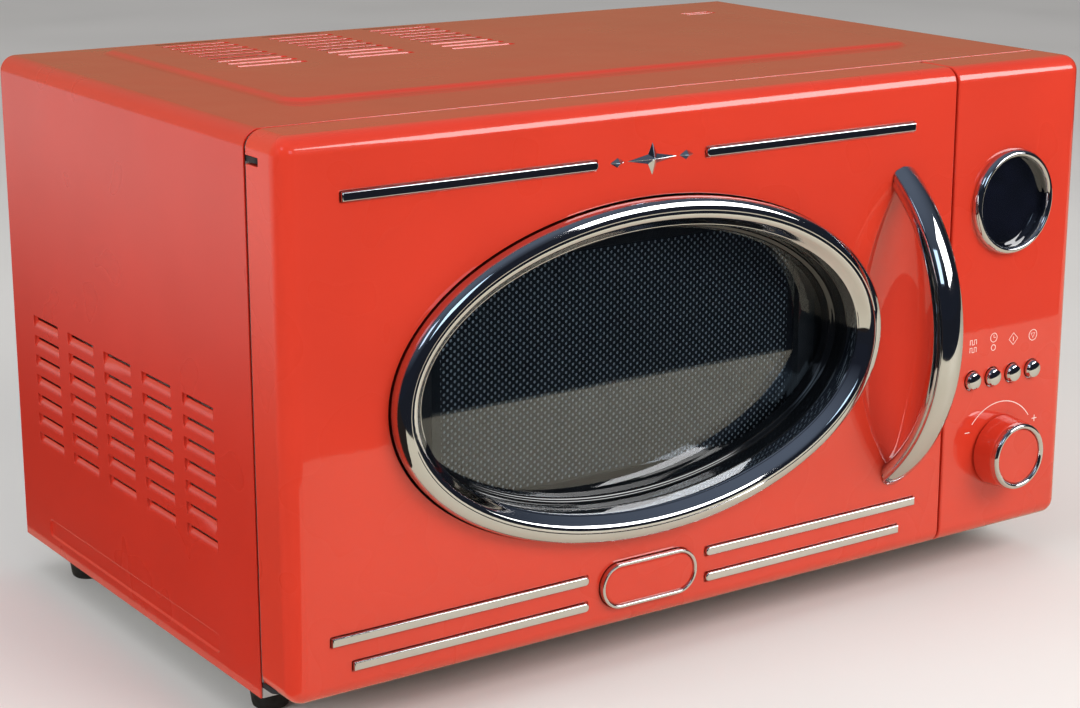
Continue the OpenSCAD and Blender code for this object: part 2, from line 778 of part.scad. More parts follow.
module roller_ring() {
    z0 = z_roller - 1.5;
    hoop = track_r - roller_w / 2 - 4;
    color([0.9, 0.9, 0.88]) translate([x_oven_mid, y_tray, 0]) difference() {
        union() {
            for (r = [hoop, hub_r + 6]) translate([0, 0, z0]) difference() {
                cylinder(h = 3, r = r);
                translate([0, 0, -cut]) cylinder(h = 3 + 2 * cut, r = r - 5);
            }
            for (k = [0 : 2]) rotate([0, 0, k * 120 + 90]) {
                block([hub_r + 4, -4, z0], [hoop - 3, 4, z0 + 3]);
                bar_x(0, z_roller, hoop - 4, track_r + roller_w / 2 + 2, roller_axle_r);
                bar_x(0, z_roller, track_r + roller_w / 2 + 0.4, track_r + roller_w / 2 + 2,
                    roller_axle_r + 1);
            }
        }
    }
}

// A roller on the axle of arm k
module roller(k) {
    color([0.92, 0.92, 0.9]) translate([x_oven_mid, y_tray, 0]) rotate([0, 0, k * 120 + 90]) difference() {
        bar_x(0, z_roller, track_r - roller_w / 2, track_r + roller_w / 2, roller_r);
        bar_x(0, z_roller, track_r - roller_w, track_r + roller_w, roller_axle_r + running_gap);
    }
}
module roller_1() { roller(0); }
module roller_2() { roller(1); }
module roller_3() { roller(2); }

// A hinge bracket whose tongue lies at height z; the pin points up for s = 1 and down for s = -1
module hinge(z, s) {
    color(black) {
        block([x_hinge - tongue_half_w, y_hinge, z], [x_hinge + tongue_half_w, y_oven + 10, z + hinge_t]);
        translate([x_hinge, y_hinge, z]) cylinder(h = hinge_t, r = tongue_half_w);
        translate([x_hinge, y_hinge, z + (s > 0 ? hinge_t - 0.1 : 0.1 - pin_l)])
            cylinder(h = pin_l, r = hinge_pin_r);
        block([x_hinge - tongue_half_w, y_oven, z + (s > 0 ? 0 : hinge_t - 24)],
            [x_hinge + 14, y_oven + 1.5, z + (s > 0 ? 24 : hinge_t)]);
    }
}

module hinge_brackets() {
    hinge(z_high_tongue, -1);
    hinge(z_low_tongue, 1);
}

module interlock_housing() {
    x0 = x_latch + latch_w / 2 + 2;
    z0 = hook_z[0] - 14;
    z1 = hook_z[1] + hook_h + 14;
    color([0.9, 0.88, 0.8]) {
        block([x0, y_oven, z0], [x0 + 2, y_oven + 32, z1]);
        block([x0 + 1.9, y_oven, z0], [x0 + 12, y_oven + 2, z1]);
        for (z = hook_z)
            block([x_latch - latch_w / 2 - 1, y_oven, z - 5], [x0 + 0.1, y_oven + 10, z - hook_gap - 0.4]);
    }
}

module door_switches() {
    x0 = x_latch + latch_w / 2 + 4;
    color(black) for (z = [hook_z[0] - 8, hook_z[1] - 8, hook_z[1] - 28])
        block([x0, y_oven + 12, z], [x0 + 6.5, y_oven + 31, z + 16]);
}

// Outer form of the door or panel between x0 and x1; t is the distance inside the outer face
module front_form(x0, x1, t, y1) {
    r = max(front_r - t, 1);
    c = max(corner_r - t, 1);
    w = x1 - x0 - 2 * t;
    h = door_h - 2 * t;
    mid = (x0 + x1) / 2;
    y0 = y_face + t;
    intersection() {
        along_y(y0, y1) translate([mid, z_window]) rounded_rect(w, h, c);
        translate([0, 0, z_door]) linear_extrude(door_h) union() {
            translate([mid - w / 2, y0 + r]) square([w, y1 - y0 - r]);
            translate([mid - w / 2 + r, y0]) square([w - 2 * r, y1 - y0]);
            for (s = [-1, 1]) translate([mid + s * (w / 2 - r), y0 + r]) circle(r);
        }
        along_x(x0, x1) union() {
            translate([y0 + r, z_window - h / 2]) square([y1 - y0 - r, h]);
            translate([y0, z_window - h / 2 + r]) square([y1 - y0, h - 2 * r]);
            for (s = [-1, 1]) translate([y0 + r, z_window + s * (h / 2 - r)]) circle(r);
        }
    }
}

// The spindle that shapes the finger well; t grows it
module well_form(t) {
    depth = well_depth;
    spindle_r = (well_half_w * well_half_w + depth * depth) / (2 * depth);
    offset_y = spindle_r - depth;
    arc_r = (well_half_l * well_half_l + depth * depth) / (2 * depth);
    translate([x_handle, y_face - offset_y, z_handle]) rotate_extrude($fn = 96) intersection() {
        translate([spindle_r - arc_r, 0]) circle(arc_r + t, $fn = 200);
        translate([0, -well_half_l - t]) square([spindle_r + t, 2 * (well_half_l + t)]);
    }
}

// Trim strips as [left end, right end, height], measured from the door's middle and bottom edge
strip_rows = [
    [29.8, door_w / 2 - 27.5, door_h - strip_top],
    [33.6, door_w / 2 - 18.3, strip_low_high],
    [33.6, door_w / 2 - 28.5, strip_low_low]];

// The strips between y0 and y1, grown by t all round
module strips(y0, y1, t) {
    for (row = strip_rows, s = [-1, 1])
        along_y(y0, y1) translate([x_door_mid + s * (row[0] + row[1]) / 2, z_door + row[2]])
            rounded_rect(row[1] - row[0] + 2 * t, strip_w + 2 * t, strip_w / 2 + t - 0.1);
}

module trim_strips() {
    color(chrome) strips(y_face - strip_h, y_face + strip_seat, 0);
}

z_badge = strip_low_high / 2 + strip_low_low / 2 + 0.7;

module badge_outline(t) {
    translate([x_door_mid, z_door + z_badge])
        rounded_rect(badge_l + 2 * t, badge_w + 2 * t, badge_w / 2 + t - 0.1);
}

// A long four-pointed star with a small lozenge at each side, stuck on the door between the upper strips
module door_ornament() {
    half_l = ornament_l / 2;
    half_h = ornament_h / 2;
    waist = 0.14;
    color(chrome) along_y(y_face - ornament_t, y_face)
        translate([x_door_mid, z_door + door_h - strip_top]) {
        polygon([for (k = [0 : 3]) let (a = k * 90) each [
            [half_l * 0.62 * cos(a), half_h * sin(a)],
            [half_l * waist * cos(a + 45) * 1.4, half_h * waist * sin(a + 45) * 2.6]]]);
        for (s = [-1, 1]) translate([s * half_l * 0.82, 0])
            polygon([[half_l * 0.18, 0], [0, half_h * 0.3], [-half_l * 0.18, 0], [0, -half_h * 0.3]]);
    }
}

module badge() {
    color(chrome) difference() {
        along_y(y_face - badge_h, y_face + strip_seat) badge_outline(0);
        along_y(y_face - badge_h - cut, y_face - badge_h + 1.5) badge_outline(-2);
    }
}

// Cuts the corner of the door that the hinge tongue at height z turns in
module hinge_notch(z) {
    r = tongue_half_w + notch_gap;
    block([-x_side - cut, y_hinge - notch_front, z - notch_gap],
        [x_hinge + r, y_door + cut, z + hinge_t + notch_gap]);
}

// A boss with a bore for a hinge pin, from z0 to z1
module hinge_boss(z0, z1) {
    intersection() {
        front_form(-x_side, x_door_right, 0, y_door);
        block([-x_side, y_door - 14, z0], [x_hinge + 6, y_door, z1]);
    }
}

module door_shell() {
    z_boss_low = z_low_tongue + hinge_t + notch_gap;
    z_boss_high = z_high_tongue - notch_gap;
    seat_a = window_a - bezel_seat;
    seat_b = window_b - bezel_seat;
    color(red) difference() {
        union() {
            difference() {
                front_form(-x_side, x_door_right, 0, y_door);
                front_form(-x_side, x_door_right, wall, y_door + cut);
            }
            hinge_boss(z_boss_low, z_boss_low + pin_l + 1);
            hinge_boss(z_boss_high - pin_l - 1, z_boss_high);
            intersection() {
                front_form(-x_side, x_door_right, 0.2, y_door);
                well_form(wall);
            }
            along_y(y_face + 0.1, y_face + 10) translate([x_door_mid, z_window])
                ellipse(window_a, window_b);
            block([x_latch - 4, y_face + wall - 0.1, z_lever - spring_l - 2.5],
                [x_door_right - wall + 0.1, y_door - 3.4, z_lever - spring_l]);
        }
        difference() {
            well_form(0);
            along_y(y_face - 40, y_face + door_t) translate([x_door_mid, z_window])
                ellipse(window_a, window_b);
        }
        along_y(y_face - cut, y_face + 12) translate([x_door_mid, z_window]) ellipse(seat_a, seat_b);
        strips(y_face - cut, y_face + strip_seat, 0.2);
        along_y(y_face - cut, y_face + strip_seat) badge_outline(0.2);
        hinge_notch(z_low_tongue);
        hinge_notch(z_high_tongue);
        translate([x_hinge, y_hinge, z_boss_low - cut])
            cylinder(h = pin_l + cut, r = hinge_pin_r + running_gap);
        translate([x_hinge, y_hinge, z_boss_high - pin_l])
            cylinder(h = pin_l + cut, r = hinge_pin_r + running_gap);
        rear_corner_cut();
        for (s = [-1, 1])
            bar_y(x_handle, z_handle + s * handle_screw_z, y_face - cut, y_face + wall + cut,
                screw_r + fit_gap);
    }
}

// Takes the square edge off the door's rear left corner
module rear_corner_cut() {
    difference() {
        block([-x_side - cut, y_door - rear_r, z_door - cut], [rear_r - x_side, y_door + cut, z_top + cut]);
        translate([rear_r - x_side, y_door - rear_r, z_door - 2 * cut])
            cylinder(h = door_h + 4 * cut, r = rear_r);
    }
}

module handle_screws() {
    color(steel) for (s = [-1, 1]) {
        bar_y(x_handle, z_handle + s * handle_screw_z, y_face - 3.8, y_face + wall + 0.1,
            screw_r - running_gap);
        bar_y(x_handle, z_handle + s * handle_screw_z, y_face + wall, y_face + wall + screw_head_h,
            screw_head_r);
    }
}

module window_bezel() {
    color(chrome) difference() {
        union() {
            along_y(y_face - bezel_h, y_face) translate([x_door_mid, z_window]) ellipse(window_a, window_b);
            along_y(y_face - 0.1, y_face + 4) translate([x_door_mid, z_window])
                ellipse(window_a - bezel_seat - 0.1, window_b - bezel_seat - 0.1);
        }
        along_y(y_face - bezel_h - cut, y_face + 4 + cut) translate([x_door_mid, z_window])
            ellipse(window_a - bezel_w, window_b - bezel_w);
    }
}

module window_tunnel() {
    a = window_a - bezel_seat - 0.1;
    b = window_b - bezel_seat - 0.1;
    color(black) difference() {
        along_y(y_face + 4, y_glass) translate([x_door_mid, z_window]) ellipse(a, b);
        along_y(y_face + 3, y_glass - 4) translate([x_door_mid, z_window])
            ellipse(window_a - bezel_w - 2, window_b - bezel_w - 2);
        along_y(y_face + 3, y_glass + cut) translate([x_door_mid, z_window])
            ellipse(window_a - bezel_w - 7, window_b - bezel_w - 7);
    }
}

module window_glass() {
    color([0.1, 0.12, 0.12, 0.5]) along_y(y_glass, y_screen) translate([x_door_mid, z_window])
        ellipse(window_a - bezel_seat - 1, window_b - bezel_seat - 1);
}

// A block of the oven mouth's outline grown by t, from y0 to y1
module mouth_block(t, y0, y1) {
    block([x_oven_left - t, y0, z_floor - t], [x_oven_right + t, y1, z_roof + t]);
}

// Middle of the perforated screen
module screen_block(t, y0, y1) {
    block([x_door_mid - screen_w / 2 - t, y0, z_window - screen_h / 2 - t],
        [x_door_mid + screen_w / 2 + t, y1, z_window + screen_h / 2 + t]);
}

module door_frame() {
    y_deep = y_screen + sheet - choke_depth + 3;
    y_end = y_door - 3.1;
    color(steel) difference() {
        union() {
            mouth_block(frame_lip, y_screen, y_screen + sheet);
            difference() {
                mouth_block(choke_w, y_deep, y_end);
                mouth_block(choke_w - sheet, y_deep + sheet, y_end + cut);
                mouth_block(frame_lip, y_deep - cut, y_end);
            }
            difference() {
                mouth_block(frame_lip + sheet, y_deep, y_screen + sheet);
                mouth_block(frame_lip, y_deep - cut, y_screen + 2 * sheet);
            }
        }
        screen_block(0, y_screen - cut, y_screen + sheet + cut);
    }
}

module mesh_screen() {
    color([0.25, 0.25, 0.26]) screen_block(5, y_screen + sheet, y_screen + sheet + 0.5);
}

module inner_trim() {
    y0 = y_door - 3;
    edge = wall + 0.2;
    color(black) difference() {
        intersection() {
            front_form(-x_side, x_door_right, edge, y_door - 0.2);
            block([x_hinge + 7, y0, z_door], [x_door_right, y_door - 0.2, z_top]);
        }
        screen_block(16, y0 - cut, y_door + cut);
        hook_slots(y0 - cut, y_door + cut);
    }
}

module door_handle() {
    half = handle_l / 2;
    r_out = (half * half + handle_out * handle_out) / (2 * handle_out);
    inner_half = half - 11;
    r_in = (inner_half * inner_half + finger_room * finger_room) / (2 * finger_room);
    color(chrome) difference() {
        intersection() {
            bar_x(y_face - handle_out + r_out, z_handle, x_handle - handle_w / 2,
                x_handle + handle_w / 2, r_out);
            block([x_handle - handle_w, y_face - handle_out - cut, z_handle - half],
                [x_handle + handle_w, y_face, z_handle + half]);
        }
        bar_x(y_face - finger_room + r_in, z_handle, x_handle - handle_w, x_handle + handle_w, r_in);
        for (s = [-1, 1])
            bar_y(x_handle, z_handle + s * handle_screw_z, y_face - 4, y_face + cut, screw_r);
    }
}

z_lever = hook_z[0] - 8;
spring_l = 16;
y_spring = y_door - 6.2;

module latch_lever() {
    z0 = z_lever;
    z1 = hook_z[1] + hook_h + 4;
    color([0.92, 0.92, 0.9]) {
        block([x_latch - latch_w / 2, y_door - 9, z0], [x_latch + latch_w / 2, y_door - 3.4, z1]);
        for (z = hook_z) {
            block([x_latch - hook_half_w, y_door - 4, z + 2],
                [x_latch + hook_half_w, y_cab + hook_l, z + hook_h]);
            block([x_latch - hook_half_w, y_cab + hook_l - 5, z],
                [x_latch + hook_half_w, y_cab + hook_l, z + 3]);
        }
    }
}

// A closed sleeve that stands for the coil spring under the lever
module latch_spring() {
    color(steel) translate([x_latch, y_spring, z_lever - spring_l]) difference() {
        cylinder(h = spring_l, r = 2.4);
        translate([0, 0, -cut]) cylinder(h = spring_l + 2 * cut, r = 1.5);
    }
}

module control_panel() {
    color(red) difference() {
        union() {
            difference() {
                front_form(x_panel_left, x_side, 0, y_door);
                front_form(x_panel_left, x_side, wall, y_door + cut);
            }
            for (x = [x_panel_left + 7, x_side - 8], z = [z_door + 14, z_top - 14])
                bar_y(x, z, y_face + wall - 0.1, y_cab, 4);
            for (x = [x_control - 30, x_control + 34], z = [z_door + 30, z_window, z_top - 34])
                bar_y(x, z, y_face + wall - 0.1, y_board, 3);
        }
        bar_y(x_control, z_display, y_face - cut, y_face + wall + cut, display_r - 3);
        bar_y(x_control, z_knob, y_face - cut, y_face + wall + cut, encoder_shaft_r + 1);
        for (x = button_x) bar_y(x, z_button, y_face - cut, y_face + wall + cut, button_r + fit_gap);
    }
}

// The board with the four switches that the buttons press
module control_board() {
    color([0.1, 0.35, 0.2]) {
        block([x_control - 34, y_board, z_door + 20], [x_control + 38, y_board + board_t, z_top - 30]);
        for (x = button_x)
            block([x - 3, y_board - switch_h, z_button - 3], [x + 3, y_board + 0.1, z_button + 3]);
    }
}

module display_module() {
    color(black) bar_y(x_control, z_display, y_face + wall + 2, y_board, display_r - 5);
}

module display_lens() {
    color([0.05, 0.06, 0.08]) bar_y(x_control, z_display, y_face + 1, y_face + wall + 2, display_r - 3.1);
}

module display_ring() {
    color(chrome) difference() {
        union() {
            bar_y(x_control, z_display, y_face - display_h, y_face, display_r);
            bar_y(x_control, z_display, y_face - 0.1, y_face + 1, display_r - 3.1);
        }
        bar_y(x_control, z_display, y_face - display_h - cut, y_face + 1 + cut, display_r - 4.2);
    }
}

module encoder() {
    color(grey) difference() {
        union() {
            block([x_control - 6.5, y_face + 5, z_knob - 6.5], [x_control + 6.5, y_board, z_knob + 6.5]);
            bar_y(x_control, z_knob, y_face - 4, y_face + 5.1, encoder_shaft_r + 0.9);
        }
        bar_y(x_control, z_knob, y_face - 4 - cut, y_face + 9, encoder_shaft_r + running_gap);
    }
}

module encoder_shaft() {
    color(chrome) bar_y(x_control, z_knob, y_face - knob_h + 5, y_face + 8.5, encoder_shaft_r);
}

knob_gap = 0.8;
knob_front_r = knob_r - 1.3;

module knob_body() {
    color(red) difference() {
        translate([x_control, y_face - knob_gap, z_knob]) rotate([90, 0, 0])
            cylinder(h = knob_h - knob_gap - 1.2, r1 = knob_r, r2 = knob_front_r);
        difference() {
            bar_y(x_control, z_knob, y_face - knob_h - cut, y_face - knob_h + 3.5, knob_r + cut);
            bar_y(x_control, z_knob, y_face - knob_h - 2 * cut, y_face - knob_h + 4, knob_front_r - 3);
        }
        bar_y(x_control, z_knob, y_face - 5, y_face + cut, encoder_shaft_r + 3);
        bar_y(x_control, z_knob, y_face - knob_h + 5, y_face + cut, encoder_shaft_r);
    }
}

module knob_ring() {
    color(chrome) difference() {
        bar_y(x_control, z_knob, y_face - knob_h, y_face - knob_h + 3.5, knob_front_r);
        bar_y(x_control, z_knob, y_face - knob_h - cut, y_face - knob_h + 3.5 + cut, knob_front_r - 3);
    }
}

// A domed button cap with a collar behind the panel and a stem that reaches its switch
module button(i) {
    color(chrome) {
        bar_y(button_x[i], z_button, y_face - 1.6, y_face + wall + 0.2, button_r);
        intersection() {
            translate([button_x[i], y_face + 2.4, z_button]) sphere(button_r * 1.2);
            bar_y(button_x[i], z_button, y_face - 4, y_face, button_r);
        }
        bar_y(button_x[i], z_button, y_face + wall + 0.1, y_face + wall + 1.5, button_r + 1);
        bar_y(button_x[i], z_button, y_face + wall + 1, y_board - switch_h - button_travel - 0.2, 2);
    }
}
module button_1() { button(0); }
module button_2() { button(1); }
module button_3() { button(2); }
module button_4() { button(3); }

outer_cover();
base_plate();
back_panel();
front_frame();
feet();
cabinet_screws();
oven_cavity();
waveguide_cover();
waveguide();
magnetron();
transformer_core();
transformer_coils();
capacitor();
capacitor_clamp();
high_voltage_diode();
fuse_board();
cord_gland();
thermal_cutout();
oven_lamp();
fan_shroud();
fan_motor();
fan_blade();
turntable_motor();
turntable_shaft();
drive_coupler();
glass_tray();
roller_ring();
roller_1();
roller_2();
roller_3();
hinge_brackets();
interlock_housing();
door_switches();
control_panel();
control_board();
display_module();
display_lens();
display_ring();
encoder();
encoder_shaft();
knob_body();
knob_ring();
button_1();
button_2();
button_3();
button_4();
door_shell();
window_bezel();
window_tunnel();
window_glass();
door_frame();
mesh_screen();
inner_trim();
door_handle();
handle_screws();
trim_strips();
badge();
door_ornament();
latch_lever();
latch_spring();
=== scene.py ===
"""A countertop microwave oven in red enamel and chrome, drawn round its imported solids.

The last section is a small studio: floor, lamps, what the gloss mirrors, and the camera.
"""

import math

import bpy
from bpy.props import FloatProperty, FloatVectorProperty, IntProperty, PointerProperty
from mathutils import Matrix, Vector


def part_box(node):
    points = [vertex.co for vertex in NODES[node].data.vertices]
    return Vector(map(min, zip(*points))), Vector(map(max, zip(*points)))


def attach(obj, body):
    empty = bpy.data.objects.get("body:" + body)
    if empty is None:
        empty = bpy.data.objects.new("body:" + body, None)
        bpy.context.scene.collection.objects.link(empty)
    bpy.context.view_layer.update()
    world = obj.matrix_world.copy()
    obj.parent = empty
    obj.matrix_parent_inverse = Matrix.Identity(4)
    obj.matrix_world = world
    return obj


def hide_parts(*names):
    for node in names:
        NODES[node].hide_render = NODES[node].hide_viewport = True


bl_info = {
    "name": "Microwave oven",
    "version": (1, 0, 0),
    "blender": (4, 5, 0),
    "location": "3D View > Sidebar > Oven",
    "description": "Draws a red countertop microwave oven piece by piece, with its finishes and a studio",
    "category": "Object",
}

MM = 0.001
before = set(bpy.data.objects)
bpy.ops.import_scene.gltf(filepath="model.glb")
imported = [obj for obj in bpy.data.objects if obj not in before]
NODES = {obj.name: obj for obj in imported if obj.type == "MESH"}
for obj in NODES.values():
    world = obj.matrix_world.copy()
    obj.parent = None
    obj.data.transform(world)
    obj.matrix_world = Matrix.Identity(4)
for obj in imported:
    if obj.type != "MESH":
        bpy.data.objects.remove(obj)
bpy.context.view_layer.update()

COVER_LOW, COVER_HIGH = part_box("outer_cover")
DOOR_LOW, DOOR_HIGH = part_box("door_shell")
PANEL_LOW, PANEL_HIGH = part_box("control_panel")
BEZEL_LOW, BEZEL_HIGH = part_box("window_bezel")
TUNNEL_LOW, TUNNEL_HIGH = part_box("window_tunnel")
GLASS_LOW, GLASS_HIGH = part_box("window_glass")
SCREEN_LOW, SCREEN_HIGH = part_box("mesh_screen")
HANDLE_LOW, HANDLE_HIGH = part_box("door_handle")
STRIPS_LOW, STRIPS_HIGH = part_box("trim_strips")
BADGE_LOW, BADGE_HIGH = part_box("badge")
STAR_LOW, STAR_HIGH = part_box("door_ornament")
RING_LOW, RING_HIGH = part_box("display_ring")
LENS_LOW, LENS_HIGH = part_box("display_lens")
KNOB_LOW, KNOB_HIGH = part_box("knob_body")
KNOB_RING_LOW, KNOB_RING_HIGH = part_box("knob_ring")
FEET_LOW, FEET_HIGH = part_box("feet")
BACK_LOW, BACK_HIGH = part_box("back_panel")
BASE_LOW, BASE_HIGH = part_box("base_plate")
HINGE_LOW, HINGE_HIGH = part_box("hinge_brackets")
FAN_LOW, FAN_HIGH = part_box("fan_blade")
GLAND_LOW, GLAND_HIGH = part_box("cord_gland")
BUTTON_BOXES = [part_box("button_%d" % number) for number in (1, 2, 3, 4)]

FACE_Y = DOOR_LOW.y
WINDOW = (BEZEL_LOW + BEZEL_HIGH) / 2
WINDOW_A = (BEZEL_HIGH.x - BEZEL_LOW.x) / 2
WINDOW_B = (BEZEL_HIGH.z - BEZEL_LOW.z) / 2
SHEET = 1.0 * MM
WALL = 2.6 * MM
PAD_H = COVER_HIGH.z - DOOR_HIGH.z


def linear(code, alpha=1.0):
    """Turns a six-digit sRGB hex code into a linear colour."""
    steps = [int(code[place:place + 2], 16) / 255 for place in (0, 2, 4)]
    curve = [step / 12.92 if step <= 0.04045 else ((step + 0.055) / 1.055) ** 2.4 for step in steps]
    return (*curve, alpha)


# ---------------------------------------------------------------- settings

class OvenShape(bpy.types.PropertyGroup):
    """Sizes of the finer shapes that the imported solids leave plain"""

    front_round: FloatProperty(name="Front rounding", description="Radius of the moulded front edges",
                               default=8.0 * MM, min=4.0 * MM, max=10.0 * MM, unit="LENGTH")
    cover_round: FloatProperty(name="Cover rounding", description="Radius of the cover's folded top edges",
                               default=8.0 * MM, min=4.0 * MM, max=10.0 * MM, unit="LENGTH")
    pad_slope: FloatProperty(name="Pad slope", description="Width of the sloped edge round the raised pad",
                             default=4.5 * MM, min=1.0 * MM, max=8.0 * MM, unit="LENGTH")
    louvre_depth: FloatProperty(name="Louvre depth", description="Depth that each louvre is pressed in",
                                default=2.6 * MM, min=1.0 * MM, max=4.0 * MM, unit="LENGTH")
    well_depth: FloatProperty(name="Finger well depth", description="Depth of the hollow behind the handle",
                              default=12.5 * MM, min=6.0 * MM, max=13.0 * MM, unit="LENGTH")
    hole: FloatProperty(name="Screen hole", description="Width of a hole in the window's screen",
                        default=1.5 * MM, min=0.8 * MM, max=1.6 * MM, unit="LENGTH")
    soft_edge: FloatProperty(name="Soft edge",
                             description="Width of the rounding on an edge that looks sharp",
                             default=0.35 * MM, min=0.1 * MM, max=0.6 * MM, unit="LENGTH")
    sides: IntProperty(name="Sides", description="Straight sides that stand for the window's oval",
                       default=144, min=48, max=256)


class OvenFinish(bpy.types.PropertyGroup):
    """Colours and gloss of the finishes"""

    enamel: FloatVectorProperty(name="Enamel", description="Colour of the baked paint on the steel cover",
                                subtype="COLOR", size=4, min=0, max=1, default=linear("C8301F"))
    moulding: FloatVectorProperty(name="Moulding", description="Colour of the door's and panel's plastic",
                                  subtype="COLOR", size=4, min=0, max=1, default=linear("D23A26"))
    chrome: FloatVectorProperty(name="Chrome", description="Colour of the plated trim",
                                subtype="COLOR", size=4, min=0, max=1, default=linear("D6D6D8"))
    print_ink: FloatVectorProperty(name="Print", description="Colour of the printed signs",
                                   subtype="COLOR", size=4, min=0, max=1, default=linear("F2E3DC"))


class OvenStudio(bpy.types.PropertyGroup):
    """The camera's place and the lights"""

    camera_place: FloatVectorProperty(name="Camera", description="Place of the camera", subtype="XYZ",
                                      size=3, unit="LENGTH", default=(-0.646665, -0.932745, 0.420579))
    camera_turn: FloatVectorProperty(name="Camera turn", description="Turn of the camera", subtype="EULER",
                                     size=3, unit="ROTATION",
                                     default=[math.radians(a) for a in (75.3949, -0.3848, -35.5715)])
    lens: FloatProperty(name="Lens", description="Focal length of the camera in millimetres",
                        default=77.24, min=20, max=200)
    table_front: FloatProperty(name="Table front", description="Where the table mirrored in the front ends",
                               default=-0.49, min=-2.0, max=-0.2, unit="LENGTH")
    key: FloatProperty(name="Key light", description="Power of the large lamp in front, in watts",
                       default=20.0, min=0, max=200)
    fill: FloatProperty(name="Fill light", description="Power of the lamp overhead, in watts",
                        default=5.5, min=0, max=200)
    side: FloatProperty(name="Side light", description="Power of the lamp on the left, in watts",
                        default=14.0, min=0, max=200)


# ---------------------------------------------------------------- hand tools

def only(*pieces):
    """Leaves nothing selected but the given pieces, with the first one active."""
    bpy.ops.object.select_all(action="DESELECT")
    for piece in pieces:
        piece.select_set(True)
    bpy.context.view_layer.objects.active = pieces[0]


def settle_place(piece, name):
    """Names a fresh primitive and puts its place in its mesh."""
    piece.name = name
    only(piece)
    bpy.ops.object.transform_apply(location=True, rotation=True, scale=True)
    return piece


def fresh(name, kind, middle=(0, 0, 0), size=(1, 1, 1), turn=(0, 0, 0), **settings):
    """A new primitive at its place, size and turn."""
    bpy.ops.object.select_all(action="DESELECT")
    getattr(bpy.ops.mesh, "primitive_%s_add" % kind)(location=middle, rotation=turn, **settings)
    piece = bpy.context.object
    piece.scale = size
    return settle_place(piece, name)


def block(name, low, high):
    """A cube drawn out between two corners."""
    low, high = Vector(low), Vector(high)
    return fresh(name, "cube", (low + high) / 2, (high - low) / 2)


def pick(piece, kind, test):
    """Enters edit mode with only the faces, edges or points that pass the test selected."""
    only(piece)
    bpy.ops.object.mode_set(mode="EDIT")
    bpy.ops.mesh.select_mode(type=kind)
    bpy.ops.mesh.select_all(action="DESELECT")
    bpy.ops.object.mode_set(mode="OBJECT")
    mesh = piece.data
    if kind == "FACE":
        for face in mesh.polygons:
            face.select = test(face.center, face.normal)
    elif kind == "EDGE":
        for edge in mesh.edges:
            ends = [mesh.vertices[index].co for index in edge.vertices]
            edge.select = test(*ends)
    else:
        for point in mesh.vertices:
            point.select = test(point.co)
    bpy.ops.object.mode_set(mode="EDIT")


def leave():
    """Leaves edit mode."""
    bpy.ops.object.mode_set(mode="OBJECT")


def runs_along(start, end, axis):
    """Whether an edge runs along one axis."""
    step = end - start
    return abs(step[axis]) > 0.999 * step.length


def round_edges(piece, test, radius, segments):
    """Bevels the edges that pass the test."""
    pick(piece, "EDGE", test)
    bpy.ops.mesh.bevel(offset=radius, segments=segments, profile=0.5, affect="EDGES", clamp_overlap=False)
    leave()


def tidy_normals(piece):
    """Merges doubles and turns every face outwards."""
    only(piece)
    bpy.ops.object.mode_set(mode="EDIT")
    bpy.ops.mesh.select_all(action="SELECT")
    bpy.ops.mesh.remove_doubles(threshold=0.002 * MM)
    bpy.ops.mesh.normals_make_consistent(inside=False)
    leave()


def apply_modifier(piece, kind, **settings):
    """Adds a modifier with its settings and applies it."""
    only(piece)
    modifier = piece.modifiers.new(kind.lower(), kind)
    for name, value in settings.items():
        setattr(modifier, name, value)
    bpy.ops.object.modifier_apply(modifier=modifier.name)


def carve(piece, tool, operation="DIFFERENCE"):
    """Cuts one piece with another, or joins them, and removes the tool."""
    apply_modifier(piece, "BOOLEAN", operation=operation, object=tool, solver="EXACT")
    bpy.data.objects.remove(tool)


def row(piece, count, step):
    """Repeats a piece in a row, each copy with its own faces."""
    apply_modifier(piece, "ARRAY", count=count, use_relative_offset=False, use_constant_offset=True,
                   constant_offset_displace=step)


def joined(name, pieces):
    """Joins pieces into one."""
    only(*pieces)
    if len(pieces) > 1:
        bpy.ops.object.join()
    pieces[0].name = name
    return pieces[0]


def turned(name, rings, middle, sides=96, upright=False, hollow=False):
    """Draws a round or oval piece out of ring after ring, each one (half width, half height, height).

    Heights run towards the front, or upwards when the piece is upright. A hollow one ends on
    its first ring."""
    bpy.ops.object.select_all(action="DESELECT")
    bpy.ops.mesh.primitive_circle_add(vertices=sides, radius=1, fill_type="NOTHING" if hollow else "NGON")
    piece = bpy.context.object
    bpy.ops.object.mode_set(mode="EDIT")
    bpy.ops.mesh.select_mode(type="EDGE" if hollow else "FACE")
    bpy.ops.mesh.select_all(action="SELECT")
    wide, tall, height = rings[0]
    bpy.ops.transform.resize(value=(wide, tall, 1), center_override=(0, 0, 0))
    bpy.ops.transform.translate(value=(0, 0, height))
    for next_wide, next_tall, next_height in rings[1:]:
        bpy.ops.mesh.extrude_region_move(TRANSFORM_OT_translate={"value": (0, 0, next_height - height)})
        bpy.ops.transform.resize(value=(next_wide / wide, next_tall / tall, 1), center_override=(0, 0, 0))
        wide, tall, height = next_wide, next_tall, next_height
    leave()
    if not upright:
        piece.rotation_euler = (math.pi / 2, 0, 0)
    piece.location = middle
    settle_place(piece, name)
    tidy_normals(piece)
    return piece


def curve_points(middle, radius, start, end, steps):
    """Points on an arc, from one angle to another in degrees."""
    angles = [math.radians(start + (end - start) * step / steps) for step in range(steps + 1)]
    return [(middle[0] + radius * math.cos(a), middle[1] + radius * math.sin(a)) for a in angles]


def oval_rings(profile, a, b):
    """Rings for a profile given as (distance outside the oval, height)."""
    return [(a + out, b + out, height) for out, height in profile]


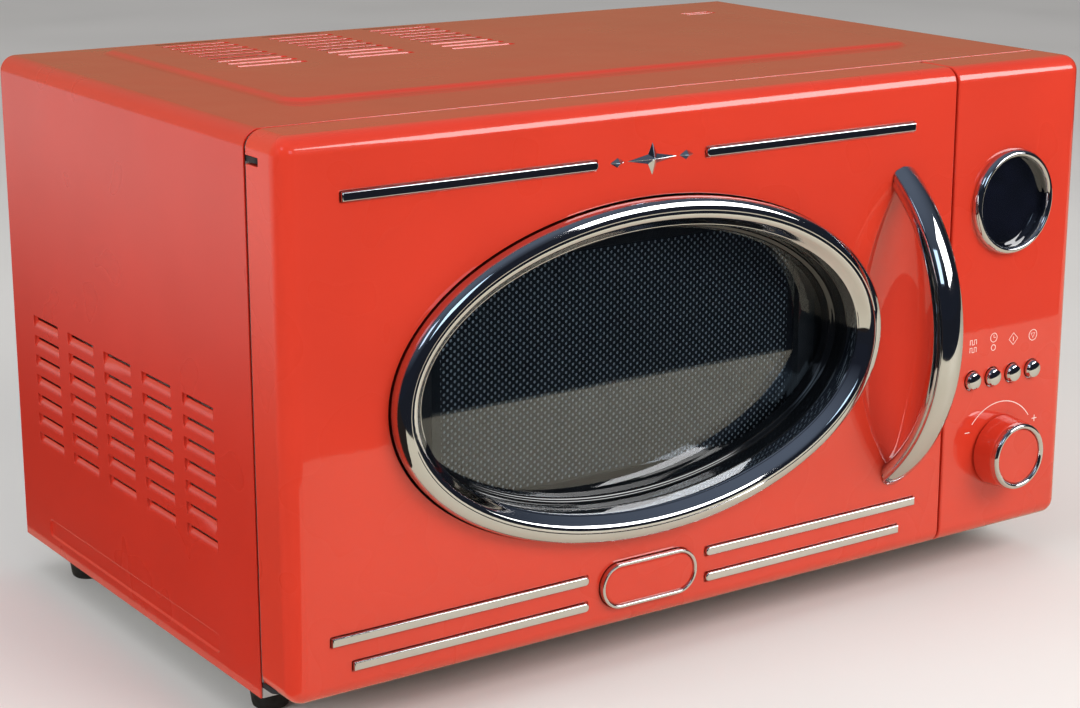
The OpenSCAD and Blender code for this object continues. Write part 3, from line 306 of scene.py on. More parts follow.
def drawn_line(name, points, width, closed=False, thick=0.05 * MM):
    """A printed line through points on the front, as a thin raised ribbon."""
    curve = bpy.data.curves.new(name, "CURVE")
    curve.dimensions = "3D"
    curve.bevel_depth = width / 2
    curve.bevel_resolution = 1
    curve.use_fill_caps = True
    spline = curve.splines.new("POLY")
    spline.points.add(len(points) - 1)
    for point, (x, z) in zip(spline.points, points):
        point.co = (x, 0, z, 1)
    spline.use_cyclic_u = closed
    ribbon = bpy.data.objects.new(name, curve)
    bpy.context.scene.collection.objects.link(ribbon)
    only(ribbon)
    bpy.ops.object.convert(target="MESH")
    ribbon = bpy.context.object
    ribbon.scale.y = thick / width * 2
    ribbon.location.y = FACE_Y
    return settle_place(ribbon, name)


def finished(piece, body, material, stands_for=(), soft=None, angle=32, segments=2):
    """Softens what is left sharp, shades by angle, gives the piece its body and finish, and hides the
    solids it stands for.
    """
    if soft:
        apply_modifier(piece, "BEVEL", width=soft, segments=segments, limit_method="ANGLE",
                       angle_limit=math.radians(28), use_clamp_overlap=False, miter_outer="MITER_ARC")
    only(piece)
    bpy.ops.object.shade_smooth_by_angle(angle=math.radians(angle))
    apply_modifier(piece, "WEIGHTED_NORMAL", keep_sharp=True, weight=60)
    piece.data.materials.clear()
    piece.data.materials.append(material)
    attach(piece, body)
    if stands_for:
        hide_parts(*stands_for)
    return piece


# ---------------------------------------------------------------- finishes

def add(tree, kind, inputs=None, **settings):
    """Adds a node with its settings, and sets or links its inputs."""
    node = tree.nodes.new(kind)
    for name, value in settings.items():
        setattr(node, name, value)
    for name, value in (inputs or {}).items():
        socket = node.inputs[name]
        if isinstance(value, bpy.types.NodeSocket):
            tree.links.new(value, socket)
        else:
            socket.default_value = value
    return node


def blank(name):
    """An empty material: its tree, its place on the piece and its output."""
    material = bpy.data.materials.new(name)
    material.use_nodes = True
    tree = material.node_tree
    tree.nodes.clear()
    place = add(tree, "ShaderNodeTexCoord").outputs["Object"]
    output = add(tree, "ShaderNodeOutputMaterial")
    return material, tree, place, output


def close(material, tree, output, shader):
    """Links a shader to the output and returns the material."""
    tree.links.new(shader, output.inputs["Surface"])
    return material


def patches(tree, place, size, low, high, detail=1.0):
    """Soft patches of a size in metres, as a number that keeps near the span from low to high.

    It isn't clamped, so it can run a little past either end.
    """
    noise = add(tree, "ShaderNodeTexNoise", {"Vector": place, "Scale": 1 / size, "Detail": detail})
    spread = add(tree, "ShaderNodeMapRange", {"Value": noise.outputs["Fac"], "From Min": 0.25,
                                              "From Max": 0.75,
                                              "To Min": low, "To Max": high}, clamp=False)
    return spread.outputs["Result"]


def shades(tree, factor, first, second):
    """A colour between two, by a number from 0 to 1."""
    return add(tree, "ShaderNodeMix", {0: factor, 6: first, 7: second}, data_type="RGBA").outputs[2]


def relief(tree, height, distance, strength=1.0, below=None):
    """A bump of a height in metres, on top of another one if given."""
    inputs = {"Height": height, "Distance": distance, "Strength": strength}
    if below:
        inputs["Normal"] = below
    return add(tree, "ShaderNodeBump", inputs).outputs["Normal"]


def worn(colour, amount):
    """The same colour, darker or lighter."""
    return (*[min(1.0, channel * amount) for channel in colour[:3]], 1)


def gloss_red(name, colour, peel, peel_height, roughness):
    """Red coats: a body colour under a clear gloss that waves slightly."""
    material, tree, place, output = blank(name)
    body = shades(tree, patches(tree, place, 60 * MM, 0, 1), worn(colour, 0.96), worn(colour, 1.04))
    noise = add(tree, "ShaderNodeTexNoise", {"Vector": place, "Scale": 1 / peel, "Detail": 1.0})
    bump = relief(tree, noise.outputs["Fac"], peel_height)
    rough = patches(tree, place, 35 * MM, roughness * 0.85, roughness * 1.2)
    shader = add(tree, "ShaderNodeBsdfPrincipled", {
        "Base Color": body, "Roughness": rough, "IOR": 1.5, "Specular IOR Level": 0.12, "Normal": bump,
        "Coat Weight": 1.0, "Coat Roughness": 0.03, "Coat IOR": 1.5, "Coat Normal": bump})
    return close(material, tree, output, shader.outputs["BSDF"])


def baked_enamel(finish):
    """Stoved enamel on pressed steel: deep gloss with the faint orange peel of sprayed paint."""
    return gloss_red("baked_enamel_on_steel", finish.enamel, 2.2 * MM, 0.010 * MM, 0.30)


def gloss_moulding(finish):
    """Gloss moulded and lacquered plastic: flatter than the steel's paint, and a little brighter."""
    return gloss_red("gloss_moulded_plastic", finish.moulding, 4.0 * MM, 0.006 * MM, 0.28)


def plated_chrome(finish):
    """Chrome plate on moulded plastic: a near mirror, with a faint haze and the mould's slow waves."""
    material, tree, place, output = blank("chrome_plate_on_plastic")
    wave = add(tree, "ShaderNodeTexNoise", {"Vector": place, "Scale": 1 / (14 * MM), "Detail": 0.0})
    rough = patches(tree, place, 9 * MM, 0.035, 0.07)
    shader = add(tree, "ShaderNodeBsdfPrincipled", {
        "Base Color": shades(tree, patches(tree, place, 20 * MM, 0, 1), worn(finish.chrome, 0.96),
                             finish.chrome),
        "Metallic": 1.0, "Roughness": rough, "Normal": relief(tree, wave.outputs["Fac"], 0.02 * MM)})
    return close(material, tree, output, shader.outputs["BSDF"])


def zinc_sheet():
    """Hot-dip galvanised steel sheet: flat grey crystals (spangle) of slightly different gloss."""
    material, tree, place, output = blank("galvanised_sheet")
    cells = add(tree, "ShaderNodeTexVoronoi", {"Vector": place, "Scale": 1 / (9 * MM)})
    tone = add(tree, "ShaderNodeSeparateColor", {"Color": cells.outputs["Color"]})
    body = shades(tree, tone.outputs["Red"], linear("A3A8AB"), linear("C2C6C8"))
    rough = add(tree, "ShaderNodeMapRange", {"Value": tone.outputs["Green"], "To Min": 0.32, "To Max": 0.5})
    shader = add(tree, "ShaderNodeBsdfPrincipled", {
        "Base Color": body, "Metallic": 1.0, "Roughness": rough.outputs["Result"],
        "Normal": relief(tree, tone.outputs["Blue"], 0.01 * MM)})
    return close(material, tree, output, shader.outputs["BSDF"])


def speckled(name, first, second, size, metallic, rough_low, rough_high, grain, grain_height, ior=1.5):
    """A finish of two near tones in patches, with a fine grain pressed or sprayed in it."""
    material, tree, place, output = blank(name)
    fine = add(tree, "ShaderNodeTexNoise", {"Vector": place, "Scale": 1 / grain, "Detail": 2.0})
    inputs = {"Base Color": shades(tree, patches(tree, place, size, 0, 1), linear(first), linear(second)),
              "Metallic": metallic, "Roughness": patches(tree, place, size * 0.6, rough_low, rough_high),
              "Normal": relief(tree, fine.outputs["Fac"], grain_height)}
    if not metallic:
        inputs["IOR"] = ior
    shader = add(tree, "ShaderNodeBsdfPrincipled", inputs)
    return close(material, tree, output, shader.outputs["BSDF"])


def grey_enamel():
    """Grey powder coat on the back sheet: matt with a fine pebbled skin."""
    return speckled("grey_powder_coat", "8F9294", "999C9E", 12 * MM, 0.0, 0.42, 0.55, 0.9 * MM, 0.03 * MM)


def dark_powder():
    """Dark powder coat on inner brackets: matt, finely pebbled."""
    return speckled("dark_powder_coat", "2B2C2E", "353638", 10 * MM, 0.0, 0.45, 0.6, 0.8 * MM, 0.03 * MM)


def oven_enamel():
    """Light grey epoxy enamel inside the oven: satin with fine flow marks."""
    return speckled("oven_lining_enamel", "B9BAB6", "C4C5C1", 25 * MM, 0.0, 0.25, 0.38, 1.6 * MM,
                    0.015 * MM)


def foot_rubber():
    """Moulded rubber: black, slightly dusty, matt."""
    return speckled("moulded_rubber", "141414", "222120", 4 * MM, 0.0, 0.6, 0.8, 0.5 * MM, 0.03 * MM)


def screw_steel():
    """Zinc-plated screw steel: bright, a little yellow, finely scratched."""
    return speckled("plated_screw_steel", "A9A79F", "BDBBB4", 2 * MM, 1.0, 0.22, 0.4, 0.4 * MM, 0.01 * MM)


def hinge_steel():
    """Punched and nickel-plated hinge steel: greyer, with rubbed patches."""
    return speckled("nickel_plated_plate", "8E9092", "A6A8A9", 5 * MM, 1.0, 0.25, 0.42, 0.6 * MM, 0.01 * MM)


def mica_sheet():
    """Mica board over the wave port: pale brown layers with silvery flakes."""
    return speckled("mica_board", "A58F6C", "C9B893", 3 * MM, 0.0, 0.28, 0.5, 1.2 * MM, 0.05 * MM, 1.58)


def bright_metal():
    """Rolled bright steel on cans, shafts and clamps: fine rolling marks."""
    return speckled("rolled_bright_steel", "B4B5B6", "C9CACA", 8 * MM, 1.0, 0.2, 0.34, 0.5 * MM, 0.006 * MM)


def core_iron():
    """Stacked core iron: dark varnished steel with the lines of its laminations."""
    material, tree, place, output = blank("laminated_core_iron")
    lines = add(tree, "ShaderNodeTexWave", {"Vector": place, "Scale": 1 / (3.2 * MM) / 6.28,
                                            "Distortion": 0.3},
                bands_direction="Z")
    body = shades(tree, lines.outputs["Fac"], linear("3A3733"), linear("6A645C"))
    shader = add(tree, "ShaderNodeBsdfPrincipled", {
        "Base Color": body, "Metallic": 0.7, "Roughness": patches(tree, place, 6 * MM, 0.4, 0.6),
        "Normal": relief(tree, lines.outputs["Fac"], 0.08 * MM)})
    return close(material, tree, output, shader.outputs["BSDF"])


def enamelled_copper():
    """Enamelled copper wire: turns lying side by side under varnish."""
    material, tree, place, output = blank("enamelled_copper_wire")
    turns = add(tree, "ShaderNodeTexWave", {"Vector": place, "Scale": 1 / (1.6 * MM) / 6.28,
                                            "Distortion": 0.5},
                bands_direction="Z")
    body = shades(tree, turns.outputs["Fac"], linear("6E2F14"), linear("C06A35"))
    shader = add(tree, "ShaderNodeBsdfPrincipled", {
        "Base Color": body, "Metallic": 0.8, "Roughness": patches(tree, place, 5 * MM, 0.25, 0.4),
        "Normal": relief(tree, turns.outputs["Fac"], 0.2 * MM)})
    return close(material, tree, output, shader.outputs["BSDF"])


def circuit_board():
    """Glass-fibre circuit board: green lacquer over tracks that show as lighter lines."""
    material, tree, place, output = blank("lacquered_circuit_board")
    tracks = add(tree, "ShaderNodeTexBrick", {"Vector": place, "Scale": 1 / (6 * MM), "Mortar Size": 0.06,
                                              "Color1": linear("14502C"), "Color2": linear("185A33"),
                                              "Mortar": linear("3C8A4E")})
    shader = add(tree, "ShaderNodeBsdfPrincipled", {
        "Base Color": tracks.outputs["Color"], "Roughness": patches(tree, place, 5 * MM, 0.3, 0.42),
                                                    "IOR": 1.5,
        "Normal": relief(tree, tracks.outputs["Fac"], 0.03 * MM)})
    return close(material, tree, output, shader.outputs["BSDF"])


def white_plastic():
    """Milky engineering plastic of clips, coupler and switches: satin moulded."""
    return speckled("moulded_white_plastic", "D8D6CC", "E2E0D8", 8 * MM, 0.0, 0.35, 0.48, 0.7 * MM,
                    0.015 * MM)


def black_plastic():
    """Black moulded plastic: satin with a fine spark-eroded grain."""
    return speckled("moulded_black_plastic", "121315", "1A1B1D", 8 * MM, 0.0, 0.35, 0.5, 0.6 * MM,
                    0.02 * MM)


def black_gloss():
    """Black gloss lacquered plastic round the window: clear mirror gloss over black."""
    material, tree, place, output = blank("black_gloss_plastic")
    wave = add(tree, "ShaderNodeTexNoise", {"Vector": place, "Scale": 1 / (12 * MM), "Detail": 0.0})
    shader = add(tree, "ShaderNodeBsdfPrincipled", {
        "Base Color": shades(tree, patches(tree, place, 20 * MM, 0, 1), linear("050607"), linear("0B0D10")),
        "Roughness": patches(tree, place, 15 * MM, 0.06, 0.12), "IOR": 1.5,
        "Normal": relief(tree, wave.outputs["Fac"], 0.01 * MM), "Coat Weight": 0.6, "Coat Roughness": 0.03})
    return close(material, tree, output, shader.outputs["BSDF"])


def see_through(name, tint, rough_low, rough_high, mirrored=0.043):
    """Glass: what lies behind shows tinted, and its skin mirrors more at a glance.

    The skin mirrors the share `mirrored` seen square on and rises with the fifth power towards
    the edge, alike on both faces of a pane.
    """
    material, tree, place, output = blank(name)
    through = add(tree, "ShaderNodeBsdfTransparent",
                  {"Color": shades(tree, patches(tree, place, 50 * MM, 0, 1), worn(tint, 0.97), tint)})
    skin = add(tree, "ShaderNodeBsdfAnisotropic", {"Color": (1, 1, 1, 1),
                                                   "Roughness": patches(tree, place, 30 * MM, rough_low,
                                                                        rough_high)})
    facing = add(tree, "ShaderNodeLayerWeight", {"Blend": 0.5})
    rise = add(tree, "ShaderNodeMath", {0: facing.outputs["Facing"], 1: 5.0}, operation="POWER")
    share = add(tree, "ShaderNodeMapRange", {"Value": rise.outputs["Value"], "To Min": mirrored})
    mix = add(tree, "ShaderNodeMixShader", {0: share.outputs["Result"]})
    tree.links.new(through.outputs["BSDF"], mix.inputs[1])
    tree.links.new(skin.outputs["BSDF"], mix.inputs[2])
    return close(material, tree, output, mix.outputs["Shader"])


def clear_glass():
    """Pressed clear glass of the tray: faintly green, with soft flow marks."""
    return see_through("pressed_clear_glass", linear("DDE8E2"), 0.03, 0.08)


def window_glass():
    """Toughened smoked glass of the window: darkens what lies behind and mirrors the room."""
    return see_through("smoked_window_glass", linear("D4DADF"), 0.01, 0.03, 0.07)


def dark_lens():
    """Smoked acrylic display lens: nearly black, blue in its depth, polished."""
    material, tree, place, output = blank("smoked_acrylic")
    shader = add(tree, "ShaderNodeBsdfPrincipled", {
        "Base Color": shades(tree, patches(tree, place, 14 * MM, 0, 1), linear("07090F"), linear("10131F")),
        "Roughness": patches(tree, place, 10 * MM, 0.03, 0.06), "IOR": 1.49, "Coat Weight": 1.0,
        "Coat Roughness": 0.02})
    return close(material, tree, output, shader.outputs["BSDF"])


def lamp_glass():
    """Frosted lamp glass: milky, with a fine etched skin."""
    return speckled("frosted_lamp_glass", "E9E6DC", "F4F2EA", 4 * MM, 0.0, 0.3, 0.45, 0.4 * MM, 0.01 * MM)


def screen_paint():
    """Black baked paint on the perforated screen: satin, in soft patches of two near tones with a fine
    grain.
    """
    return speckled("painted_screen_steel", "1B1D21", "2A2D33", 6 * MM, 0.4, 0.3, 0.45, 0.5 * MM, 0.01 * MM)


def milky_film():
    """Thin polyester film that seals the screen's back: milky, so each hole shows as a pale dot."""
    return speckled("milky_polyester_film", "DDE6EA", "E6EDF0", 10 * MM, 0.0, 0.3, 0.4, 0.5 * MM,
                    0.005 * MM, 1.57)


def printed_ink(finish):
    """Screen-printed ink: off-white, slightly uneven, satin."""
    material, tree, place, output = blank("screen_printed_ink")
    shader = add(tree, "ShaderNodeBsdfPrincipled", {
        "Base Color": shades(tree, patches(tree, place, 1.5 * MM, 0, 1), worn(finish.print_ink, 0.9),
                             finish.print_ink),
        "Roughness": patches(tree, place, 2 * MM, 0.35, 0.5), "IOR": 1.5})
    return close(material, tree, output, shader.outputs["BSDF"])


FINISHES = {}


def finish_named(name):
    """One of the finishes, made the first time it is asked for."""
    if name not in FINISHES:
        maker = MAKERS[name]
        takes_settings = name in ("baked_enamel", "gloss_moulding", "plated_chrome", "printed_ink")
        FINISHES[name] = maker(bpy.context.scene.oven_finish) if takes_settings else maker()
    return FINISHES[name]


MAKERS = {
    "baked_enamel": baked_enamel, "gloss_moulding": gloss_moulding, "plated_chrome": plated_chrome,
    "zinc_sheet": zinc_sheet, "grey_enamel": grey_enamel, "dark_powder": dark_powder,
          "oven_enamel": oven_enamel,
    "foot_rubber": foot_rubber, "screw_steel": screw_steel, "hinge_steel": hinge_steel,
          "mica_sheet": mica_sheet,
    "bright_metal": bright_metal, "core_iron": core_iron, "enamelled_copper": enamelled_copper,
    "circuit_board": circuit_board, "white_plastic": white_plastic, "black_plastic": black_plastic,
    "black_gloss": black_gloss, "clear_glass": clear_glass, "window_glass": window_glass,
          "dark_lens": dark_lens,
    "lamp_glass": lamp_glass, "screen_paint": screen_paint, "milky_film": milky_film,
          "printed_ink": printed_ink,
}


# ---------------------------------------------------------------- the cabinet

def louvre_cutters(shape):
    """Wedges for the louvres in the left side: deep at the top and running out to nothing below."""
    x = COVER_LOW.x
    top = COVER_LOW.z + 121.1 * MM
    start = COVER_LOW.y + 36.5 * MM
    wedge = block("louvre_wedge", (x - 1 * MM, start, top - 7.4 * MM),
                  (x + shape.louvre_depth, start + 30 * MM, top))
    pick(wedge, "EDGE", lambda a, b: runs_along(a, b, 1) and a.x > x and a.z < top - 1 * MM)
    bpy.ops.transform.translate(value=(-shape.louvre_depth - 0.4 * MM, 0, 0))
    leave()
    round_edges(wedge, lambda a, b: not runs_along(a, b, 1) and (a.x + b.x) / 2 > x - 0.9 * MM
                and abs(a.y - b.y) < 0.1 * MM and abs(a.z - b.z) > 1 * MM, 1.3 * MM, 4)
    row(wedge, 7, (0, 0, -10.05 * MM))
    row(wedge, 5, (0, 41.9 * MM, 0))
    return wedge


def slot_cutter(name, middle, length, width, depth_low, depth_high):
    """A slot with rounded ends, between two heights."""
    low = (middle[0] - length / 2, middle[1] - width / 2, depth_low)
    high = (middle[0] + length / 2, middle[1] + width / 2, depth_high)
    slot = block(name, low, high)
    round_edges(slot, lambda a, b: runs_along(a, b, 2), width * 0.42, 4)
    return slot


class OVEN_OT_cover(bpy.types.Operator):
    """Folds the cover out of one sheet, with its pad, louvres, slots and grooves"""

    bl_idname = "oven.cover"
    bl_label = "Cover"

    def execute(self, context):
        shape = context.scene.oven_shape
        low, high = COVER_LOW, Vector((COVER_HIGH.x, COVER_HIGH.y, COVER_HIGH.z - PAD_H))
        cover = block("cover", low, high)
        round_edges(cover, lambda a, b: runs_along(a, b, 1) and a.z > 0.2, shape.cover_round, 10)
        pad = block("pad", (low.x + 44 * MM, low.y + 44 * MM, high.z - 5 * MM),
                    (high.x - 44 * MM, high.y - 12 * MM, high.z))
        round_edges(pad, lambda a, b: runs_along(a, b, 2), 14 * MM, 10)
        pick(pad, "FACE", lambda centre, normal: normal.z > 0.9)
        bpy.ops.mesh.inset(thickness=shape.pad_slope, depth=PAD_H)
        leave()
        round_edges(pad, lambda a, b: min(a.z, b.z) > high.z + PAD_H * 0.9, 1.6 * MM, 4)
        carve(cover, pad, "UNION")
        carve(cover, louvre_cutters(shape))
        for side in (-1, 1):
            x = side * high.x
            groove = block("groove", (x - 0.9 * MM, low.y + 38 * MM, low.z + 7.2 * MM),
                           (x + 0.9 * MM, high.y - 31.5 * MM, low.z + 17.2 * MM))
            pick(groove, "FACE", lambda centre, normal: normal.x * side < -0.9)
            bpy.ops.transform.resize(value=(1, 0.992, 0.80), center_override=(x, (low.y + high.y) / 2,
                                                                              low.z + 12.2 * MM))
            leave()
            round_edges(groove, lambda a, b: runs_along(a, b, 0) or abs(a.x - b.x) > 1 * MM, 2.2 * MM, 4)
            carve(cover, groove)
        # the top's slots: three blocks of rows, the front three rows of each pressed but not cut
        slot_x, block_step, row_step = low.x + 92.5 * MM, 59.5 * MM, -10.2 * MM
        slot_long, slot_wide = 37 * MM, 4.4 * MM
        blind = slot_cutter("blind", (slot_x, high.y - 89 * MM), slot_long, slot_wide,
                            high.z + PAD_H - 0.8 * MM, high.z + 9 * MM)
        row(blind, 3, (0, row_step, 0))
        row(blind, 3, (block_step, 0, 0))
        carve(cover, blind)
        patch = slot_cutter("patch", (low.x + 390 * MM, low.y + 206 * MM), 20 * MM, 2.4 * MM,
                            high.z + PAD_H - 0.8 * MM, high.z + 9 * MM)
        row(patch, 2, (0, -5 * MM, 0))
        carve(cover, patch)
        pick(cover, "FACE", lambda centre, normal: normal.y < -0.99 and centre.y < low.y + 0.1 * MM
             or normal.z < -0.99 and centre.z < low.z + 0.1 * MM)
        bpy.ops.mesh.delete(type="FACE")
        leave()
        apply_modifier(cover, "SOLIDIFY", thickness=SHEET, offset=-1, use_even_offset=False)
        opening = block("opening", (low.x + 10 * MM, high.y - 4 * MM, low.z - 5 * MM),
                        (high.x - 10 * MM, high.y + 4 * MM, high.z - 10 * MM))
        round_edges(opening, lambda a, b: runs_along(a, b, 1) and a.z > 0.1, 2 * MM, 4)
        carve(cover, opening)
        slot = slot_cutter("slot", (slot_x, high.y - 17.5 * MM), slot_long, slot_wide,
                           high.z - 9 * MM, high.z + 9 * MM)
        row(slot, 7, (0, row_step, 0))
        row(slot, 3, (block_step, 0, 0))
        carve(cover, slot)
        slit = block("slit", (low.x + 0.9 * MM, low.y + 37.2 * MM, low.z + 118.9 * MM),
                     (low.x + 9 * MM, low.y + 65.8 * MM, low.z + 120.9 * MM))
        row(slit, 7, (0, 0, -10.05 * MM))
        row(slit, 5, (0, 41.9 * MM, 0))
        carve(cover, slit)
        finished(cover, "cabinet", finish_named("baked_enamel"), ["outer_cover"],
                 shape.soft_edge)
        return {"FINISHED"}


class OVEN_OT_back(bpy.types.Operator):
    """Stamps the back sheet with its stiffening pan, fan grille, beads and vents"""

    bl_idname = "oven.back"
    bl_label = "Back sheet"

    def execute(self, context):
        low, high = BACK_LOW, BACK_HIGH
        plane = COVER_HIGH.y - SHEET
        back = block("back_sheet", (low.x, plane - SHEET, low.z), (high.x, plane, high.z))
        round_edges(back, lambda a, b: runs_along(a, b, 1) and a.z > 0.2, 6 * MM, 6)
        pan_low, pan_high = (-200.7 * MM, 40 * MM), (110.3 * MM, 248 * MM)
        pan = block("pan", (pan_low[0], plane - 0.4 * MM, pan_low[1]), (pan_high[0], high.y, pan_high[1]))
        round_edges(pan, lambda a, b: runs_along(a, b, 1), 13 * MM, 8)
        round_edges(pan, lambda a, b: min(a.y, b.y) > high.y - 0.1 * MM, 3 * MM, 4)
        carve(back, pan, "UNION")
        hollow = block("pan_hollow", (pan_low[0] + SHEET, plane - 4 * MM, pan_low[1] + SHEET),
                       (pan_high[0] - SHEET, high.y - SHEET, pan_high[1] - SHEET))
        round_edges(hollow, lambda a, b: runs_along(a, b, 1), 12 * MM, 8)
        carve(back, hollow)
        bead = block("bead", (pan_low[0] + 30 * MM, high.y - 0.7 * MM, 96 * MM),
                     (pan_high[0] - 30 * MM, high.y + 2 * MM, 104 * MM))
        round_edges(bead, lambda a, b: runs_along(a, b, 1), 3.9 * MM, 5)
        row(bead, 3, (0, 0, 44 * MM))
        carve(back, bead)
        fan = (FAN_LOW + FAN_HIGH) / 2
        drills = []
        for ring in range(1, 6):
            for hole in range(ring * 6):
                turn = math.radians(hole * 60 / ring)
                place = (fan.x + ring * 7 * MM * math.cos(turn), plane,
                         fan.z + ring * 7 * MM * math.sin(turn))
                drills.append(fresh("drill", "cylinder", place, turn=(math.pi / 2, 0, 0), vertices=16,
                                    radius=2 * MM,
                                    depth=8 * MM))
        carve(back, joined("drills", drills))
        gland = (GLAND_LOW + GLAND_HIGH) / 2
        carve(back, fresh("gland_hole", "cylinder", (gland.x, plane, gland.z), turn=(math.pi / 2, 0, 0),
                          vertices=32,
                          radius=6.3 * MM, depth=8 * MM))
        slot = block("wall_slot", (130 * MM, plane - 4 * MM, 82 * MM), (160 * MM, plane + 4 * MM, 85 * MM))
        round_edges(slot, lambda a, b: runs_along(a, b, 1), 1.4 * MM, 3)
        row(slot, 5, (0, 0, 8 * MM))
        carve(back, slot)
        finished(back, "cabinet", finish_named("grey_enamel"), ["back_panel"], 0.25 * MM)
        return {"FINISHED"}


class OVEN_OT_feet(bpy.types.Operator):
    """Moulds the four tapered feet"""

    bl_idname = "oven.feet"
    bl_label = "Feet"

    def execute(self, context):
        radius = 11 * MM
        top = FEET_HIGH.z
        feet = []
        for x in (FEET_LOW.x + radius, FEET_HIGH.x - radius):
            for y in (FEET_LOW.y + radius, FEET_HIGH.y - radius):
                profile = [(4.6, 5), (4.6, 1.2), (5.2, 0.3), (6.2, 0), (7.2, 0.1), (8.1, 0.9), (8.5, 2.4),
                           (8.8, 5),
                           (9.9, 13), (10.2, 14.6), (10.9, 15.2), (11, 16), (11, 18)]
                rings = [(wide * MM, wide * MM, height * MM) for wide, height in profile]
                foot = turned("foot", rings, (x, y, top - 18 * MM), sides=48, upright=True)
                feet.append(foot)
        finished(joined("rubber_feet", feet), "cabinet", finish_named("foot_rubber"),
                 ["feet"])
        return {"FINISHED"}


# ---------------------------------------------------------------- the door

def oval_cutter(name, outside, front, rear, sides):
    """A solid oval bar through the front, a distance outside the bezel's outline."""
    rings = [(WINDOW_A + outside, WINDOW_B + outside, rear), (WINDOW_A + outside, WINDOW_B + outside,
                                                              front)]
    return turned(name, rings, (WINDOW.x, FACE_Y, WINDOW.z), sides=sides)


def finger_well(shape):
    """The hollow behind the handle: two arcs meeting above and below, spun to a shallow spindle."""
    half_w, half_l = 26 * MM, 76 * MM
    x = (HANDLE_LOW.x + HANDLE_HIGH.x) / 2
    z = (HANDLE_LOW.z + HANDLE_HIGH.z) / 2 + 0.8 * MM
    radius = (half_w ** 2 + half_l ** 2) / (2 * half_w)
    bpy.ops.object.select_all(action="DESELECT")
    bpy.ops.mesh.primitive_circle_add(vertices=320, radius=radius, fill_type="NOTHING",
                                      location=(half_w - radius, 0, 0), rotation=(math.pi / 2, 0, 0))
    well = settle_place(bpy.context.object, "finger_well")
    only(well)
    bpy.ops.object.mode_set(mode="EDIT")
    bpy.ops.mesh.select_all(action="SELECT")
    bpy.ops.mesh.bisect(plane_co=(0, 0, 0), plane_no=(1, 0, 0), clear_inner=True)
    bpy.ops.mesh.select_all(action="SELECT")
    bpy.ops.mesh.spin(steps=72, angle=2 * math.pi, center=(0, 0, 0), axis=(0, 0, 1))
    leave()
    well.scale.y = shape.well_depth / half_w
    well.location = (x, FACE_Y, z)
    settle_place(well, "finger_well")
    tidy_normals(well)
    return well


def bar_shape(name, low, high, radius, segments=6):
    """A bar on the front with its ends rounded, seen from the front."""
    bar = block(name, low, high)
    round_edges(bar, lambda a, b: runs_along(a, b, 1), radius, segments)
    return bar


STRIP_ROWS = ((216.8, 29.8, 156.4), (26.9, 33.6, 165.6), (14.2, 33.6, 155.4))


def strip_places():
    """Where each chrome strip starts and ends, and its height."""
    base = DOOR_LOW.z
    for height, inner, outer in STRIP_ROWS:
        for side in (-1, 1):
            near, far = WINDOW.x + side * inner * MM, WINDOW.x + side * outer * MM
            yield min(near, far), max(near, far), base + height * MM, side


def front_box(name, low, high, radius, seam_x):
    """A moulded front: a box rounded at its corners and front edges, all but those beside the seam."""
    front = block(name, low, high)
    rear = high[1] - 0.1 * MM
    round_edges(front, lambda a,
                b: min(a.y, b.y) < rear and not (abs(a.x - seam_x) < MM and abs(b.x - seam_x) < MM),
                radius, 9)

    def near_seam(a, b):
        """Edges on the seam between door and panel, ahead of the rear."""
        on_seam = abs(a.x - seam_x) < 0.01 * MM and abs(b.x - seam_x) < 0.01 * MM
        return on_seam and min(a.y, b.y) < rear

    round_edges(front, near_seam, 1.1 * MM, 4)
    return front


class OVEN_OT_door(bpy.types.Operator):
    """Moulds the door with its window, finger well, hinge notches and seats for the trim"""

    bl_idname = "oven.door"
    bl_label = "Door"

    def execute(self, context):
        shape = context.scene.oven_shape
        door = front_box("door", DOOR_LOW, DOOR_HIGH, shape.front_round, DOOR_HIGH.x)
        well = finger_well(shape)
        carve(well, oval_cutter("well_limit", 0.4 * MM, 30 * MM, -30 * MM, shape.sides))
        carve(door, well)
        carve(door, oval_cutter("window_hole", -0.9 * MM, 40 * MM, -40 * MM, shape.sides))
        for low_x, high_x, z, _ in strip_places():
            seat = bar_shape("seat", (low_x - 0.35 * MM, FACE_Y - 1 * MM, z - 2.45 * MM),
                             (high_x + 0.35 * MM, FACE_Y + 1 * MM, z + 2.45 * MM), 0.8 * MM, 3)
            carve(door, seat)
        badge = bar_shape("badge_seat", (BADGE_LOW.x - 0.3 * MM, FACE_Y - 1 * MM, BADGE_LOW.z - 0.3 * MM),
                          (BADGE_HIGH.x + 0.3 * MM, FACE_Y + 1 * MM, BADGE_HIGH.z + 0.3 * MM), 11 * MM, 12)
        carve(door, badge)
        for z in (HINGE_LOW.z - 0.5 * MM, HINGE_HIGH.z - 3 * MM):
            notch = block("notch", (DOOR_LOW.x - 2 * MM, DOOR_HIGH.y - 10.6 * MM, z),
                          (DOOR_LOW.x + 11 * MM, DOOR_HIGH.y + 2 * MM, z + 3.5 * MM))
            carve(door, notch)

        def open_face(centre, normal):
            """The flat rear and the walls of the window's hole."""
            reach = math.hypot((centre.x - WINDOW.x) / (WINDOW_A - 0.9 * MM),
                               (centre.z - WINDOW.z) / (WINDOW_B - 0.9 * MM))
            rear = normal.y > 0.99 and centre.y > DOOR_HIGH.y - 0.1 * MM
            return rear or abs(normal.y) < 0.05 and abs(reach - 1) < 0.004
        pick(door, "FACE", open_face)
        bpy.ops.mesh.delete(type="FACE")
        leave()
        apply_modifier(door, "SOLIDIFY", thickness=WALL, offset=-1, use_even_offset=False)
        finished(door, "door", finish_named("gloss_moulding"), ["door_shell"],
                 shape.soft_edge)
        return {"FINISHED"}


